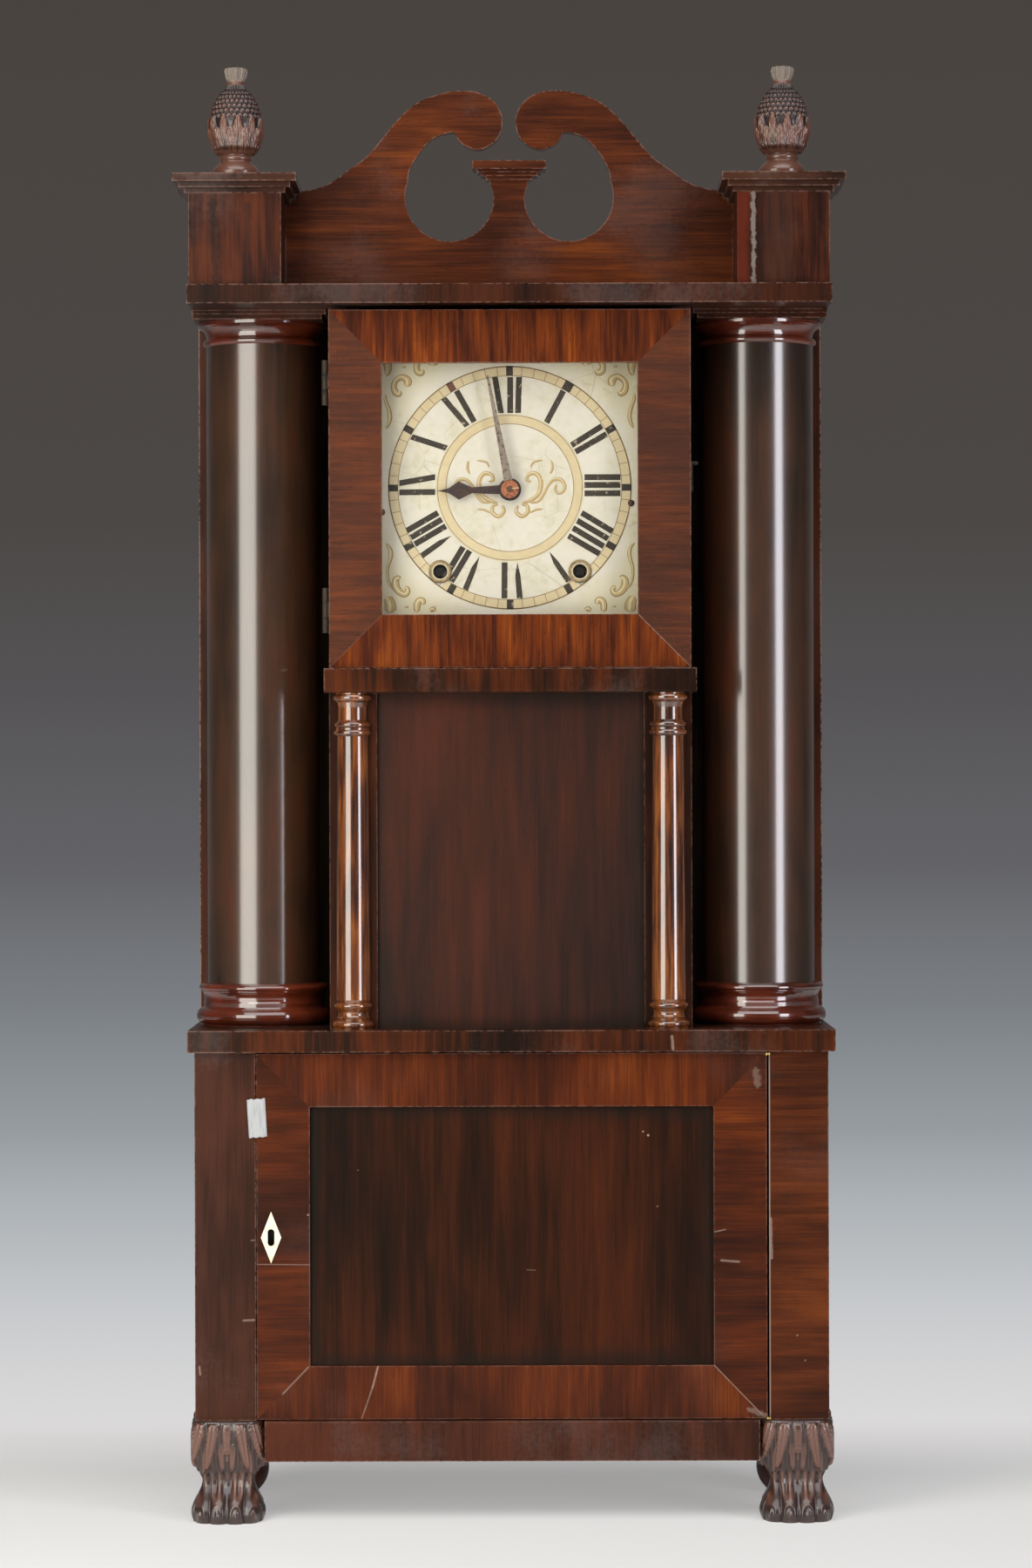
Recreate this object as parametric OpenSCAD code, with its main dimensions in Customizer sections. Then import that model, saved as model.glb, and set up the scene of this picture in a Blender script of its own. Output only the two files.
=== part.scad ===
// Hollow column shelf clock in mahogany, with a weight-driven movement.
// X runs to the right, the front faces -Y and Z points up.
// The origin is under the middle of the case, on the surface that it stands on.

/* [Case] */
// Width of the case over its rail and cornice board, which the columns, base and top follow
rail_w = 435.2; // [425:0.2:450]
// Front edge of the boards, from the middle of the depth
front_y = -76; // [-77:0.5:-75.5]
// Rear face of the backboard
back_y = 89; // [88:0.5:92]
// Thickness of the backboard
back_t = 8; // [6:0.5:8]
// Width of the central box between the columns
hood_w = 246; // [245:0.5:247]
// Thickness of the central box's sides
hood_side_t = 12; // [10:0.5:12]

/* [Levels] */
// Height of the rear feet
rear_foot_h = 40.5; // [39:0.5:42]
// Top of the bottom rail
rail_top = 67.5; // [67:0.5:68]
// Underside of the waist board
waist_z = 316; // [315.5:0.5:317]
// Thickness of the waist board
waist_t = 14.7; // [14:0.1:15.5]
// Underside of the sill moulding
sill_z = 558.6; // [557:0.2:560]
// Height of the sill moulding
sill_h = 16.4; // [15.6:0.2:16.4]
// Underside of the cornice board
cornice_z = 821; // [820.5:0.5:822]
// Thickness of the cornice board
cornice_t = 13; // [12:0.5:14]

/* [Columns] */
// Place of a column's axis from front to back
column_y = 14; // [13:0.5:15]
// Wall of a column
column_wall = 5.8; // [5:0.1:6]
// Height of a column's base turning
column_base_h = 29.3; // [28:0.1:30]
// Height of a column's capital
capital_h = 16; // [15:0.5:17]

/* [Doors] */
// Height of the upper door
door_h = 243.3; // [242:0.1:244]
// Thickness of the upper door
door_t = 19; // [18:0.5:19]
// Width of the upper door's members
door_member = 36; // [34:0.5:36]
// Width of the base door's members
base_door_member = 36; // [34:0.5:38]
// Thickness of the base door
base_door_t = 18; // [17:0.5:18]

/* [Dial and hands] */
// Height of the hands' centre
dial_z = 697; // [696:0.5:698]
// Length of the minute hand
minute_len = 79; // [70:0.5:79]
// Length of the hour hand
hour_len = 49.6; // [44:0.2:52]
// Angle of the minute hand before twelve
minute_before = 11; // [0:1:30]

/* [Top] */
// Width of a plinth block
block_w = 62.5; // [60:0.5:64]
// Height of a plinth block
block_h = 62; // [60:0.5:64]
// Height of a block's stepped cap
cap_h = 12.6; // [12:0.1:13]
// Height of a finial
finial_h = 76.4; // [74:0.2:80]

/* [Movement] */
// Distance of the winding arbors from the middle
wind_x = 47.6; // [47.6:0.1:47.8]
// Drop of the winding arbors below the hands' centre
wind_drop = 55.6; // [55.6:0.1:55.8]
// Radius at which the cord winds on a drum
drum_r = 10.5; // [9:0.5:11]
// Height of the anchor's axis above the hands' centre
anchor_rise = 88; // [87.8:0.1:88.4]
// Distance from the anchor's axis to the middle of the bob
pendulum_len = 507; // [504:0.5:508]
// Radius of the bob
bob_r = 28; // [24:0.5:28.5]
// Length of a weight
weight_len = 150; // [130:1:155]

/* [Hidden] */
$fn = 64;

// Clearances
running = 0.05;
shut_gap = 0.5;
seat_gap = 0.3;
eps = 0.02;

// Wood and metal colours
mahogany = "#5a2a1c";
flame = "#7a3c1e";
dark_wood = "#3d1d16";
oak = "#8a6a40";
cherry = "#a06a3c";
brass_colour = "#b08d3e";
steel_colour = "#8c8c8c";
iron_colour = "#3a3a3a";
paint_white = "#e4dcc4";
bone = "#d8cfae";

// Levels that follow from the ones above
waist_top = waist_z + waist_t;
sill_top = sill_z + sill_h;
cornice_top = cornice_z + cornice_t;
inner_back = back_y - back_t;
shaft_z = waist_top + column_base_h;
bed_h = 6;
capital_z = cornice_z - bed_h - capital_h;

// The central box, and the bay beside it that holds a column
hood_half = hood_w / 2;
hood_front = front_y + 33;
hood_inner = hood_half - hood_side_t;
stile_w = 32.5;
stile_t = 12;
stile_front = hood_front - stile_t;
panel_half = hood_half - stile_w;
pilaster_x = hood_half - stile_w / 2 + 0.25;
bay = rail_w / 2 - hood_half;
column_x = hood_half + bay / 2 + 1.2;
column_r = bay / 2 - 8.5;
column_bore = column_r - column_wall;
// Heights of the slot that lets each weight's cord pass to its column
slot_z = [dial_z + 45, dial_z + 79];
slot_half = 4;
upper_side_t = 6.5;

// The base box, its waist board over it and its feet under it
base_half = rail_w / 2 - 3.6;
waist_half = rail_w / 2 + 0.9;
base_front = front_y + 6;
base_side_t = 14;
base_side_front = base_front + 20;
base_inner = base_half - base_side_t;
board_t = 12;
foot_half = 25;
foot_at = [rail_w / 2 - 25.4, front_y + 16];
foot_inner = foot_at[0] - foot_half - 0.3;
foot_back = foot_at[1] + 24;
rear_foot_at = [rail_w / 2 - 23.6, inner_back - 27];

// The top: blocks, caps and the crest between them
block_x = rail_w / 2 - 32.4;
block_inner = block_x - block_w / 2;
block_y = [front_y + 4, front_y + 74];
block_mid = (block_y[0] + block_y[1]) / 2;
block_top = cornice_top + block_h;
cap_over = 10.4;
cap_top_t = 5.5;
cap_step = 3.4;
finial_z = block_top + cap_h;
finial_stem = 16;
crest_y = [block_y[1] - 12, block_y[1] - 3];

// Doors
door_bottom = sill_top + shut_gap;
door_top = door_bottom + door_h - 1;
door_front = hood_front - seat_gap - door_t;
door_back = hood_front - seat_gap;
door_half = hood_half - 0.4;
door_sight = door_half - door_member;
glass_y = door_front + 6;
base_stile_w = 41.7;
base_door_half = base_half - base_stile_w;
base_door_sight = base_door_half - base_door_member;
base_panel_y = base_front + 3;
rebate = 5;
base_door_z = rail_top + 0.6;
base_door_top = waist_z - 1.1;
base_door_back = base_front + base_door_t;

// The lock in the base door's left member, and the hook on the upper door's right side
lock_x = -base_door_half + 9.8;
lock_z = 191;
lock_case_w = 26.3;
bolt_y = base_front + 14;
hook_y = hood_front + 7;
hook_z = 714;
catch_y = door_back - 10;

// Hinges
pin_r = 1.2;
knuckle_r = 2.4;
knuckle_len = 10;
leaf_t = 1.1;
upper_pin_x = -hood_half - knuckle_r - 0.1;
upper_pin_y = hood_front - seat_gap / 2;
upper_hinge_z = [610, 765];
base_pin_x = base_door_half + 0.7;
base_pin_y = base_front - 2.3;
knife_t = 1.4;
knife_r = 2.2;
knife_len = 15;

// Dial and motion work
dial_t = 5;
dial_front = hood_front + 2;
dial_back = dial_front + dial_t;
arbor_r = 2;
pipe_r = 3.6;
minute_y = dial_front - 8;
hour_y = dial_front - 4.4;
hand_t = 0.8;
boss_r = 7.7;
hour_turn = 91;
winding_hole_r = 6.5;

// Movement plates
plate_t = 5;
front_plate = dial_back + 10;
plate_gap = 47;
back_plate = front_plate + plate_t + plate_gap;
between = front_plate + plate_t;
plate_half = hood_inner - 11;
plate_z = [sill_top + 6, cornice_z - 15];
stub = 4;

// Arbor places, as [x, z]
centre_at = [0, dial_z];
time_at = [wind_x, dial_z - wind_drop];
strike_at = [-wind_x, dial_z - wind_drop];
escape_at = [0, dial_z + 64];
third_at = [20.4, dial_z + 34.4];
anchor_at = [0, dial_z + anchor_rise];
second_angle = 100;
second_dist = 67.4;
second_at = strike_at + second_dist * [cos(second_angle), sin(second_angle)];
idler_angle = 225;
idler_at = centre_at + 20 * [cos(idler_angle), sin(idler_angle)];
hammer_at = [-36, 566];
bell_at = [-70, 5];
bell_z = 512;

// Tooth counts and modules
great_z = 60;
centre_pinion_z = 16;
centre_wheel_z = 72;
third_pinion_z = 8;
third_wheel_z = 64;
escape_pinion_z = 8;
escape_z = 35;
second_pinion_z = 10;
cannon_z = 10;
idler_wheel_z = 30;
idler_pinion_z = 8;
hour_wheel_z = 32;
great_m = norm(time_at - centre_at) * 2 / (great_z + centre_pinion_z);
fine_m = 1;
escape_r = 17.5;

// Layers of the wheels between the plates
great_y = between + 19;
strike_y = between + 12;
strike_bore = 3 + running;

// Pendulum and weights
pendulum_y = back_plate + plate_t + 11;
weight_z = rail_top + board_t;
weight_r = min(column_bore - 6, base_inner - column_x - 1.5);
pulley_r = min(12, column_bore / 2 - 0.5);
pulley_groove = 10;
pulley_z = cornice_z - 31;
pulley_axle_r = 2;

// Shared tools

// The direction from one arbor to the next, in degrees
function heading(a, b) = atan2(b[1] - a[1], b[0] - a[0]);
// The turn that sets wheel b's teeth in wheel a's gaps
function mesh_turn(turn_a, way, za, zb) = way + 180 - (turn_a - way) * za / zb + 180 / zb;
// Points along an arc
function arc(c, r, a0, a1, n) = [for (i = [0:n]) let (a = a0 + (a1 - a0) * i / n) c + r * [cos(a), sin(a)]];
// A smooth curve through points
function bend(p, i, t) = let (a = p[max(i - 1, 0)], b = p[i], c = p[i + 1], d = p[min(i + 2, len(p) - 1)])
    0.5 * (2 * b + (c - a) * t + (2 * a - 5 * b + 4 * c - d) * t * t + (3 * b - a - 3 * c + d) * t * t * t);
function smooth(p, n) = [for (i = [0:len(p) - 2], k = [0:n - 1]) bend(p, i, k / n)];
// Blend from 0 to 1 between two values
function ease(a, b, x) = let (t = min(1, max(0, (x - a) / (b - a)))) t * t * (3 - 2 * t);
function mirrored(p) = [for (i = [len(p) - 1:-1:0]) [-p[i][0], p[i][1]]];

// A block between two corners
module block(a, b) {
    translate(a) cube(b - a);
}
// A flat shape drawn in X and Z, from y0 back to y1
module upright(y0, y1) {
    translate([0, y1, 0]) rotate([90, 0, 0]) linear_extrude(y1 - y0) children();
}
// The same, placed at an arbor
module upright_at(at, y0, y1) {
    translate([at[0], 0, at[1]]) upright(y0, y1) children();
}
// A rod along Y
module rod(at, r, y0, y1) {
    translate([at[0], y1, at[1]]) rotate([90, 0, 0]) cylinder(r = r, h = y1 - y0);
}
// Both hands of something drawn on the right
module both_sides() {
    children();
    mirror([1, 0, 0]) children();
}
// A toothed wheel's outline: root, pitch and tip half widths as shares of the tooth pitch
module gear_outline(z, m, turn, half = [0.24, 0.20, 0.09]) {
    r = z * m / 2;
    radii = [r - 1.1 * m, r, r + 0.8 * m];
    step = 360 / z;
    polygon([for (k = [0:z - 1], i = [0:5]) let (
        j = i < 3 ? i : 5 - i,
        a = turn + step * (k + (i < 3 ? -1 : 1) * half[j])) radii[j] * [cos(a), sin(a)]]);
}
// A wheel on an arbor, with spokes
module wheel(at, z, m, turn, y0, y1, bore = 0, spokes = 4, rim_w = 3) {
    r = z * m / 2;
    rim = r - 1.1 * m - rim_w;
    hub = max(bore + 3, 6);
    translate([at[0], 0, at[1]]) upright(y0, y1) difference() {
        gear_outline(z, m, turn);
        if (r > 14) difference() {
            circle(rim);
            circle(hub);
            for (k = [0:spokes - 1]) rotate(k * 360 / spokes + turn) translate([0, -2]) square([rim + 1, 4]);
        }
        if (bore > 0) circle(bore);
    }
}
// A pinion on an arbor
module pinion(at, z, m, turn, y0, y1, bore = 0) {
    translate([at[0], 0, at[1]]) upright(y0, y1) difference() {
        gear_outline(z, m, turn, [0.20, 0.18, 0.08]);
        if (bore > 0) circle(bore);
    }
}

// Case carcass

module backboard() {
    color(dark_wood) block([-rail_w / 2, inner_back, rear_foot_h], [rail_w / 2, back_y, cornice_top]);
}
module upper_sides() {
    side_front = column_y + max(27, column_r - 11.8);
    color(mahogany) both_sides()
        block([rail_w / 2 - upper_side_t, side_front, waist_top],
            [rail_w / 2, inner_back, cornice_z - bed_h]);
}
module base_sides() {
    color(mahogany) both_sides()
        block([base_inner, base_side_front, rail_top], [base_half, inner_back, waist_z]);
}
module base_stiles() {
    edge = base_door_half + 1.4;
    mortise_d = 8;
    color(mahogany) {
        block([edge, base_front, rail_top], [base_half, base_side_front, waist_z]);
        difference() {
            block([-base_half, base_front, rail_top], [-base_door_half - shut_gap, base_side_front, waist_z]);
            block([-base_door_half - mortise_d, bolt_y - 3, lock_z - 5],
                [-base_door_half + 1, bolt_y + 3, lock_z + 5]);
        }
    }
}
// The rail is open inside and cut back at its front corners for the feet
module bottom_rail() {
    half = rail_w / 2;
    inner_half = half - 27;
    inner_front = -25;
    arris = 1.5;
    color(flame) difference() {
        block([-half, front_y, rear_foot_h], [half, inner_back, rail_top]);
        block([-inner_half, inner_front, 0], [inner_half, inner_back - 11, rail_top + 1]);
        both_sides() block([foot_inner, front_y - 1, 0], [half + 1, foot_back, rail_top + 1]);
        knife_seats();
        translate([-half, front_y, rail_top]) rotate([0, 90, 0])
            linear_extrude(rail_w) polygon([[-1, -1], [arris, -1], [-1, arris]]);
    }
}
module bottom_board() {
    color(dark_wood)
        block([-base_inner, base_side_front, rail_top], [base_inner, inner_back, rail_top + board_t]);
}
module waist_board() {
    slot = 34;
    color(flame) difference() {
        block([-waist_half, front_y, waist_z], [waist_half, inner_back, waist_top]);
        both_sides() translate([column_x, column_y, waist_z - 1]) cylinder(r = column_bore, h = waist_t + 2);
        block([-slot, pendulum_y - 6, waist_z - 1], [slot, pendulum_y + 6, waist_top + 1]);
        knife_seats();
    }
}
module cornice_board() {
    color(flame) block([-rail_w / 2, front_y, cornice_z], [rail_w / 2, inner_back, cornice_top]);
}
module bed_mouldings() {
    inner = hood_half + 2.5;
    step = 3;
    hole_r = column_bore - 3;
    color(mahogany) both_sides() difference() {
        union() {
            block([inner, column_y - 47, cornice_z - bed_h / 2], [rail_w / 2 - 0.6, inner_back, cornice_z]);
            block([inner + step, column_y - 47 + step, cornice_z - bed_h],
                [rail_w / 2 - 0.6, inner_back, cornice_z - bed_h / 2 + eps]);
        }
        translate([column_x, column_y, cornice_z - bed_h - 1]) cylinder(r = hole_r, h = bed_h + 2);
    }
}

// Central box

module hood_sides() {
    cleat = 8;
    color(mahogany) both_sides() difference() {
        union() {
            block([hood_inner, hood_front, waist_top], [hood_half, inner_back, cornice_z]);
            block([hood_inner - cleat, dial_back, plate_z[0] + 2],
                [hood_inner + eps, dial_back + cleat, cornice_z]);
        }
        block([hood_inner - 1, column_y - slot_half, slot_z[0]],
            [hood_half + 1, column_y + slot_half, slot_z[1]]);
    }
}
module sill_moulding() {
    over = 3;
    front = front_y + 8;
    lip = 2;
    color(flame) difference() {
        block([-hood_half - over, front, sill_z], [hood_half + over, hood_front, sill_top]);
        translate([-hood_half - over - 1, front, sill_z]) rotate([90, 0, 90])
            linear_extrude(hood_w + 2 * over + 2) polygon([[-1, -1], [lip, -1], [-1, lip]]);
    }
}
module mid_stiles() {
    color(mahogany) both_sides()
        block([panel_half, stile_front, waist_top], [hood_half, hood_front, sill_z]);
}
module mid_panel() {
    recess = 3;
    color(dark_wood)
        block([-panel_half, stile_front + recess, waist_top], [panel_half, hood_front, sill_z]);
}
// Small turned pilasters, each half a column against its stile
function pilaster_profile() = let (z0 = waist_top, z1 = sill_z) concat(
    [[0, z0], [14.2, z0]],
    arc([11.7, z0 + 3.2], 2.6, -60, 60, 6),
    [[11.2, z0 + 6.4]],
    arc([14.2, z0 + 10.6], 3.8, 230, 130, 6),
    [[12.6, z0 + 14]],
    arc([11.6, z0 + 16], 1.8, -70, 70, 5),
    [[11.2, z0 + 18.4], [11.8, z0 + 20]],
    [[10.6, z1 - 29.5]],
    arc([11.2, z1 - 27], 1.9, -80, 80, 5),
    [[11.6, z1 - 23.8]],
    arc([10.8, z1 - 21.6], 1.7, -80, 80, 5),
    [[9.8, z1 - 18.4], [9.7, z1 - 10], [10.6, z1 - 6.6]],
    arc([10.9, z1 - 3.4], 2.4, -75, 75, 5),
    [[11.4, z1], [0, z1]]);
module pilasters() {
    color(mahogany) both_sides() intersection() {
        translate([pilaster_x, stile_front, 0]) rotate_extrude() polygon(pilaster_profile());
        block([pilaster_x - 20, stile_front - 20, waist_top - 1], [pilaster_x + 20, stile_front, sill_z + 1]);
    }
}

// Hollow columns

module column_shaft(side) {
    color(mahogany) translate([side * column_x, column_y, shaft_z]) difference() {
        cylinder(r = column_r, h = capital_z - shaft_z);
        translate([0, 0, -1]) cylinder(r = column_bore, h = capital_z - shaft_z + 2);
        translate([side < 0 ? column_bore - 9 : -column_r - 1, -slot_half, slot_z[0] - shaft_z])
            cube([column_wall + 10, 2 * slot_half, slot_z[1] - slot_z[0]]);
    }
}
module column_shaft_left() column_shaft(-1);
module column_shaft_right() column_shaft(1);
module column_capitals() {
    r = column_r;
    color(mahogany) both_sides() translate([column_x, column_y, capital_z]) rotate_extrude() polygon(concat(
        [[column_bore, 0], [r + 0.1, 0]],
        arc([r - 0.4, 2.6], 2.6, -75, 75, 6),
        [[r - 0.2, 5.6]],
        arc([r + 7.8, 5.8], 8, 180, 110, 7),
        [[r + 6, capital_h - 2.2], [r + 6, capital_h], [column_bore, capital_h]]));
}
module column_bases() {
    r = column_r;
    k = column_base_h / 29.3;
    color(mahogany) both_sides() translate([column_x, column_y, waist_top]) rotate_extrude() polygon(concat(
        [[column_bore, 0], [r + 4.7, 0]],
        arc([r + 1.9, 6.4 * k], 6 * k, -75, 75, 8),
        [[r + 2.8, 13.2 * k]],
        arc([r + 8.8, 18.6 * k], 6.4 * k, 205, 135, 6),
        [[r + 4.6, 23.8 * k]],
        arc([r + 3.8, 26.2 * k], 2.2 * k, -70, 70, 5),
        [[r + 0.8, column_base_h], [column_bore, column_base_h]]));
}

// Top of the case

module plinth_blocks() {
    color(mahogany) both_sides()
        block([block_inner, block_y[0], cornice_top], [block_x + block_w / 2, block_y[1], block_top]);
}
// One slab of a stepped cap
module slab(w, d, z0, z1) {
    translate([-w / 2, -d / 2, z0]) cube([w, d, z1 - z0]);
}
module plinth_caps() {
    over = cap_over;
    color(flame) both_sides() translate([block_x, block_mid, block_top]) {
        slab(block_w + 2 * over, block_w + 2 * over, cap_h - cap_top_t, cap_h);
        slab(block_w + 2 * over - 8, block_w + 2 * over - 8, cap_step, cap_h - cap_top_t + eps);
        slab(block_w + 2 * over - 15, block_w + 2 * over - 15, 0, cap_step + eps);
    }
}
// Pineapple finial: turned stem below, and a body with leaves and studs above
finial_rings = 34;
finial_sides = 36;
function finial_radius(t) = lookup(t, [[0, 12], [0.1, 14.4], [0.22, 16.9], [0.34, 17.4], [0.47, 17.1],
    [0.57, 15.1], [0.67, 11.7], [0.74, 9.2], [0.79, 6.6], [0.83, 5.6], [0.89, 5.9], [0.96, 6.5], [1, 5.6]]);
// Overlapping leaves hug the lower third; staggered studs cover the rest
function finial_relief(t, a) =
    let (leaf = ease(0.46, 0.3, t) * (1.5 * abs(cos(4 * a + 180 * floor(t / 0.16) / 2)) - 0.4),
        row = t / 0.072,
        stud = ease(0.36, 0.46, t) * ease(0.84, 0.76, t)
            * 1.5 * abs(sin(180 * row)) * abs(cos(6 * a + 90 * floor(row))),
        crown = ease(0.86, 0.92, t) * 0.9 * abs(cos(4 * a)))
    leaf + stud + crown;
function finial_point(i, k) = let (t = i / (finial_rings - 1), a = 360 * k / finial_sides,
    r = finial_radius(t) + finial_relief(t, a))
    [r * cos(a), r * sin(a), finial_stem + t * (finial_h - finial_stem)];
// A closed skin from rings of points
module skin(rings, n, m) {
    polyhedron([for (ring = rings, p = ring) p], concat(
        [for (i = [0:n - 2], k = [0:m - 1]) [i * m + k, (i + 1) * m + (k + 1) % m, i * m + (k + 1) % m]],
        [for (i = [0:n - 2], k = [0:m - 1]) [i * m + k, (i + 1) * m + k, (i + 1) * m + (k + 1) % m]],
        [[for (k = [0:m - 1]) k]], [[for (k = [m - 1:-1:0]) (n - 1) * m + k]]));
}
module finials() {
    color(flame) both_sides() translate([block_x + 1.2, block_mid, finial_z]) {
        rotate_extrude() polygon(concat([[0, 0], [14.9, 0], [14.9, 5.6]],
            smooth([[14.4, 6.6], [12.9, 8.4], [11.9, 10.2], [11.6, 11.8], [12.3, 13.6], [11.9, 15.2]], 3),
            [[11.4, finial_stem], [0, finial_stem]]));
        skin([for (i = [0:finial_rings - 1]) [for (k = [0:finial_sides - 1]) finial_point(i, k)]],
            finial_rings, finial_sides);
    }
}
// Scrolled crest between the blocks, drawn from the middle of the cornice board's top
crest_drawn = [153.95, 140.4];
ring_at = [41, 66.2];
ring_r = 30.5;
neck_half = 13.4;
pedestal_z = 77.5;
pedestal_steps = [[15.7, 77.5], [19.5, 80], [22, 82.3], [25.1, 84.4]];
pedestal_top = 90.3;
// The crest's ends pass under the steps of the caps, with this much room
crest_room = 0.3;
crest_end = block_inner - cap_over - crest_room;
crest_shoulder = [[block_inner, cornice_top], [block_inner, block_top - crest_room],
    [block_inner - 3.3, block_top - crest_room], [block_inner - 3.3, block_top + cap_step - crest_room],
    [block_inner - 6.8, block_top + cap_step - crest_room],
    [block_inner - 6.8, block_top + cap_h - cap_top_t - crest_room],
    [crest_end, block_top + cap_h - cap_top_t - crest_room]];
// Drawn points, stretched to the width between the blocks and to their height
function fitted(p) = [for (q = p)
    [q[0] * block_inner / crest_drawn[0], cornice_top + q[1] * block_h / 62]];
function crest_half() = concat(crest_shoulder, [[crest_end, fitted([[0, 70.3]])[0][1]]], fitted(concat(
    smooth([[137, 71.4], [128, 73.8], [119, 78.5], [111, 84.5], [101, 91.5], [93.5, 98.7],
        [77.5, 118.2], [65.5, 129.4], [53.7, 135.2], [40, 138.8], [30, 139.2], [22.4, 138.3],
        [13.4, 134.4], [7.4, 128], [4.5, 119.5], [6.2, 109], [12.6, 101.9], [21.6, 98.6],
        [30.6, 101.6], [35.2, 106.1], [37, 111.4]], 3),
    smooth([[39.1, 110.8], [49.5, 108.1], [58.5, 100.7], [67.4, 87.3], [69.8, 77.6]], 3),
    arc(ring_at, ring_r, 20, -180, 28),
    [[neck_half, pedestal_z]])));
module crest() {
    steps = fitted(pedestal_steps);
    cap_top = fitted([[0, pedestal_top]])[0][1];
    color(flame) {
        upright(crest_y[0], crest_y[1]) polygon(concat(crest_half(), mirrored(crest_half())));
        for (s = [0:3])
            block([-steps[s][0], crest_y[0] - 2 - 2 * s, steps[s][1]],
                [steps[s][0], crest_y[1] + 1 + s, s < 3 ? steps[s + 1][1] + eps : cap_top]);
    }
}

// Feet

// Paw foot: four toes in front, an ankle, and a leafy knee under the corner
foot_rings = 30;
foot_sides = 40;
function foot_half_w(z) = lookup(z, [[0, 24.6], [7, 25.4], [15, 24.2], [23, 19.6], [30, 18.4], [37, 19.6],
    [46, 22.8], [56, 24.6], [67.5, 24.6]]);
function foot_front(z) = lookup(z, [[0, 28], [6, 29.4], [8, 29.2], [14, 26], [22, 17], [30, 12.5], [38, 14],
    [48, 18], [57, 21.6], [64, 22.6], [67.5, 20]]);
function foot_rear(z) = lookup(z, [[0, 19], [10, 20], [22, 16], [30, 14.5], [40, 17], [50, 22],
    [67.5, 22.7]]);
// Toes and leaves as a change of radius, with a at 270 straight to the front
function foot_relief(z, a) = let (f = max(0, -sin(a)))
    -2.6 * ease(24, 12, z) * f * pow(abs(sin(4 * (a - 270) * 0.9)), 0.7)
    + 1.3 * ease(34, 42, z) * ease(62, 54, z) * abs(cos(3 * (a - 270)));
function foot_point(i, k) =
    let (z = rail_top * i / (foot_rings - 1), a = 360 * k / foot_sides, e = 0.72,
        w = foot_half_w(z), d = sin(a) < 0 ? foot_front(z) : foot_rear(z),
        cx = sign(cos(a)) * pow(abs(cos(a)), e), cy = sign(sin(a)) * pow(abs(sin(a)), e),
        g = 1 + foot_relief(z, a) / 26)
    [min(max(cx * w * g, -foot_half), foot_half), max(cy * d * g, -29), z];
module front_feet() {
    color(dark_wood) difference() {
        both_sides() translate([foot_at[0], foot_at[1], 0])
            skin([for (i = [0:foot_rings - 1]) [for (k = [0:foot_sides - 1]) foot_point(i, k)]],
                foot_rings, foot_sides);
        knife_seats();
    }
}
module rear_feet() {
    color(dark_wood) both_sides() translate([rear_foot_at[0], rear_foot_at[1], 0]) rotate_extrude()
        polygon(concat([[0, 0], [13, 0]], smooth([[15, 1], [20.5, 8], [22.8, 17], [21, 26], [15.5, 32.5]], 4),
            [[15, 33], [17.5, 34.5], [18, rear_foot_h], [0, rear_foot_h]]));
}

// Dial, grommets and hands

module dial() {
    hole_r = 4.5;
    color(paint_white) difference() {
        block([-hood_inner + 0.2, dial_front, sill_top + 3], [hood_inner - 0.2, dial_back, cornice_z - 5]);
        rod(centre_at, hole_r, dial_front - 1, dial_back + 1);
        for (at = [time_at, strike_at]) rod(at, winding_hole_r, dial_front - 1, dial_back + 1);
    }
}
module grommets() {
    color(brass_colour) for (at = [time_at, strike_at]) difference() {
        union() {
            rod(at, winding_hole_r, dial_front - eps, dial_back);
            rod(at, 7.9, dial_front - 1.2, dial_front);
        }
        rod(at, 4.7, dial_front - 3, dial_back + 1);
    }
}
// A tapered hand pointing up, before it is turned to the time
module minute_hand() {
    color(steel_colour) difference() {
        union() {
            rod(centre_at, boss_r - 1.5, minute_y - 0.4, minute_y + hand_t + 0.2);
            upright_at(centre_at, minute_y, minute_y + hand_t) rotate(minute_before)
                polygon([[-3, 4], [-2.1, 30], [-0.8, minute_len], [0.8, minute_len], [2.1, 30], [3, 4]]);
        }
        rod(centre_at, arbor_r, minute_y - 2, minute_y + hand_t + 1);
    }
}
module hour_hand() {
    spade = 34.8;
    hour_wheel_turn = mesh_turn(idler_turn, idler_angle + 180, idler_pinion_z, hour_wheel_z);
    color(iron_colour) {
        upright_at(centre_at, hour_y, hour_y + hand_t) rotate(hour_turn) difference() {
            union() {
                circle(boss_r);
                polygon([[-3.2, 4], [-2, spade - 9], [-6.2, spade], [-1.6, spade + 7], [0, hour_len],
                    [1.6, spade + 7], [6.2, spade], [2, spade - 9], [3.2, 4]]);
            }
            circle(arbor_r + running);
        }
        difference() {
            rod(centre_at, pipe_r, hour_y + hand_t - eps, dial_back + 4);
            rod(centre_at, arbor_r + running, hour_y - 1, dial_back + 5);
        }
    }
    color(brass_colour)
        wheel(centre_at, hour_wheel_z, fine_m, hour_wheel_turn, dial_back + 2, dial_back + 4,
            arbor_r + running);
}

// Motion work and time train

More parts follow.
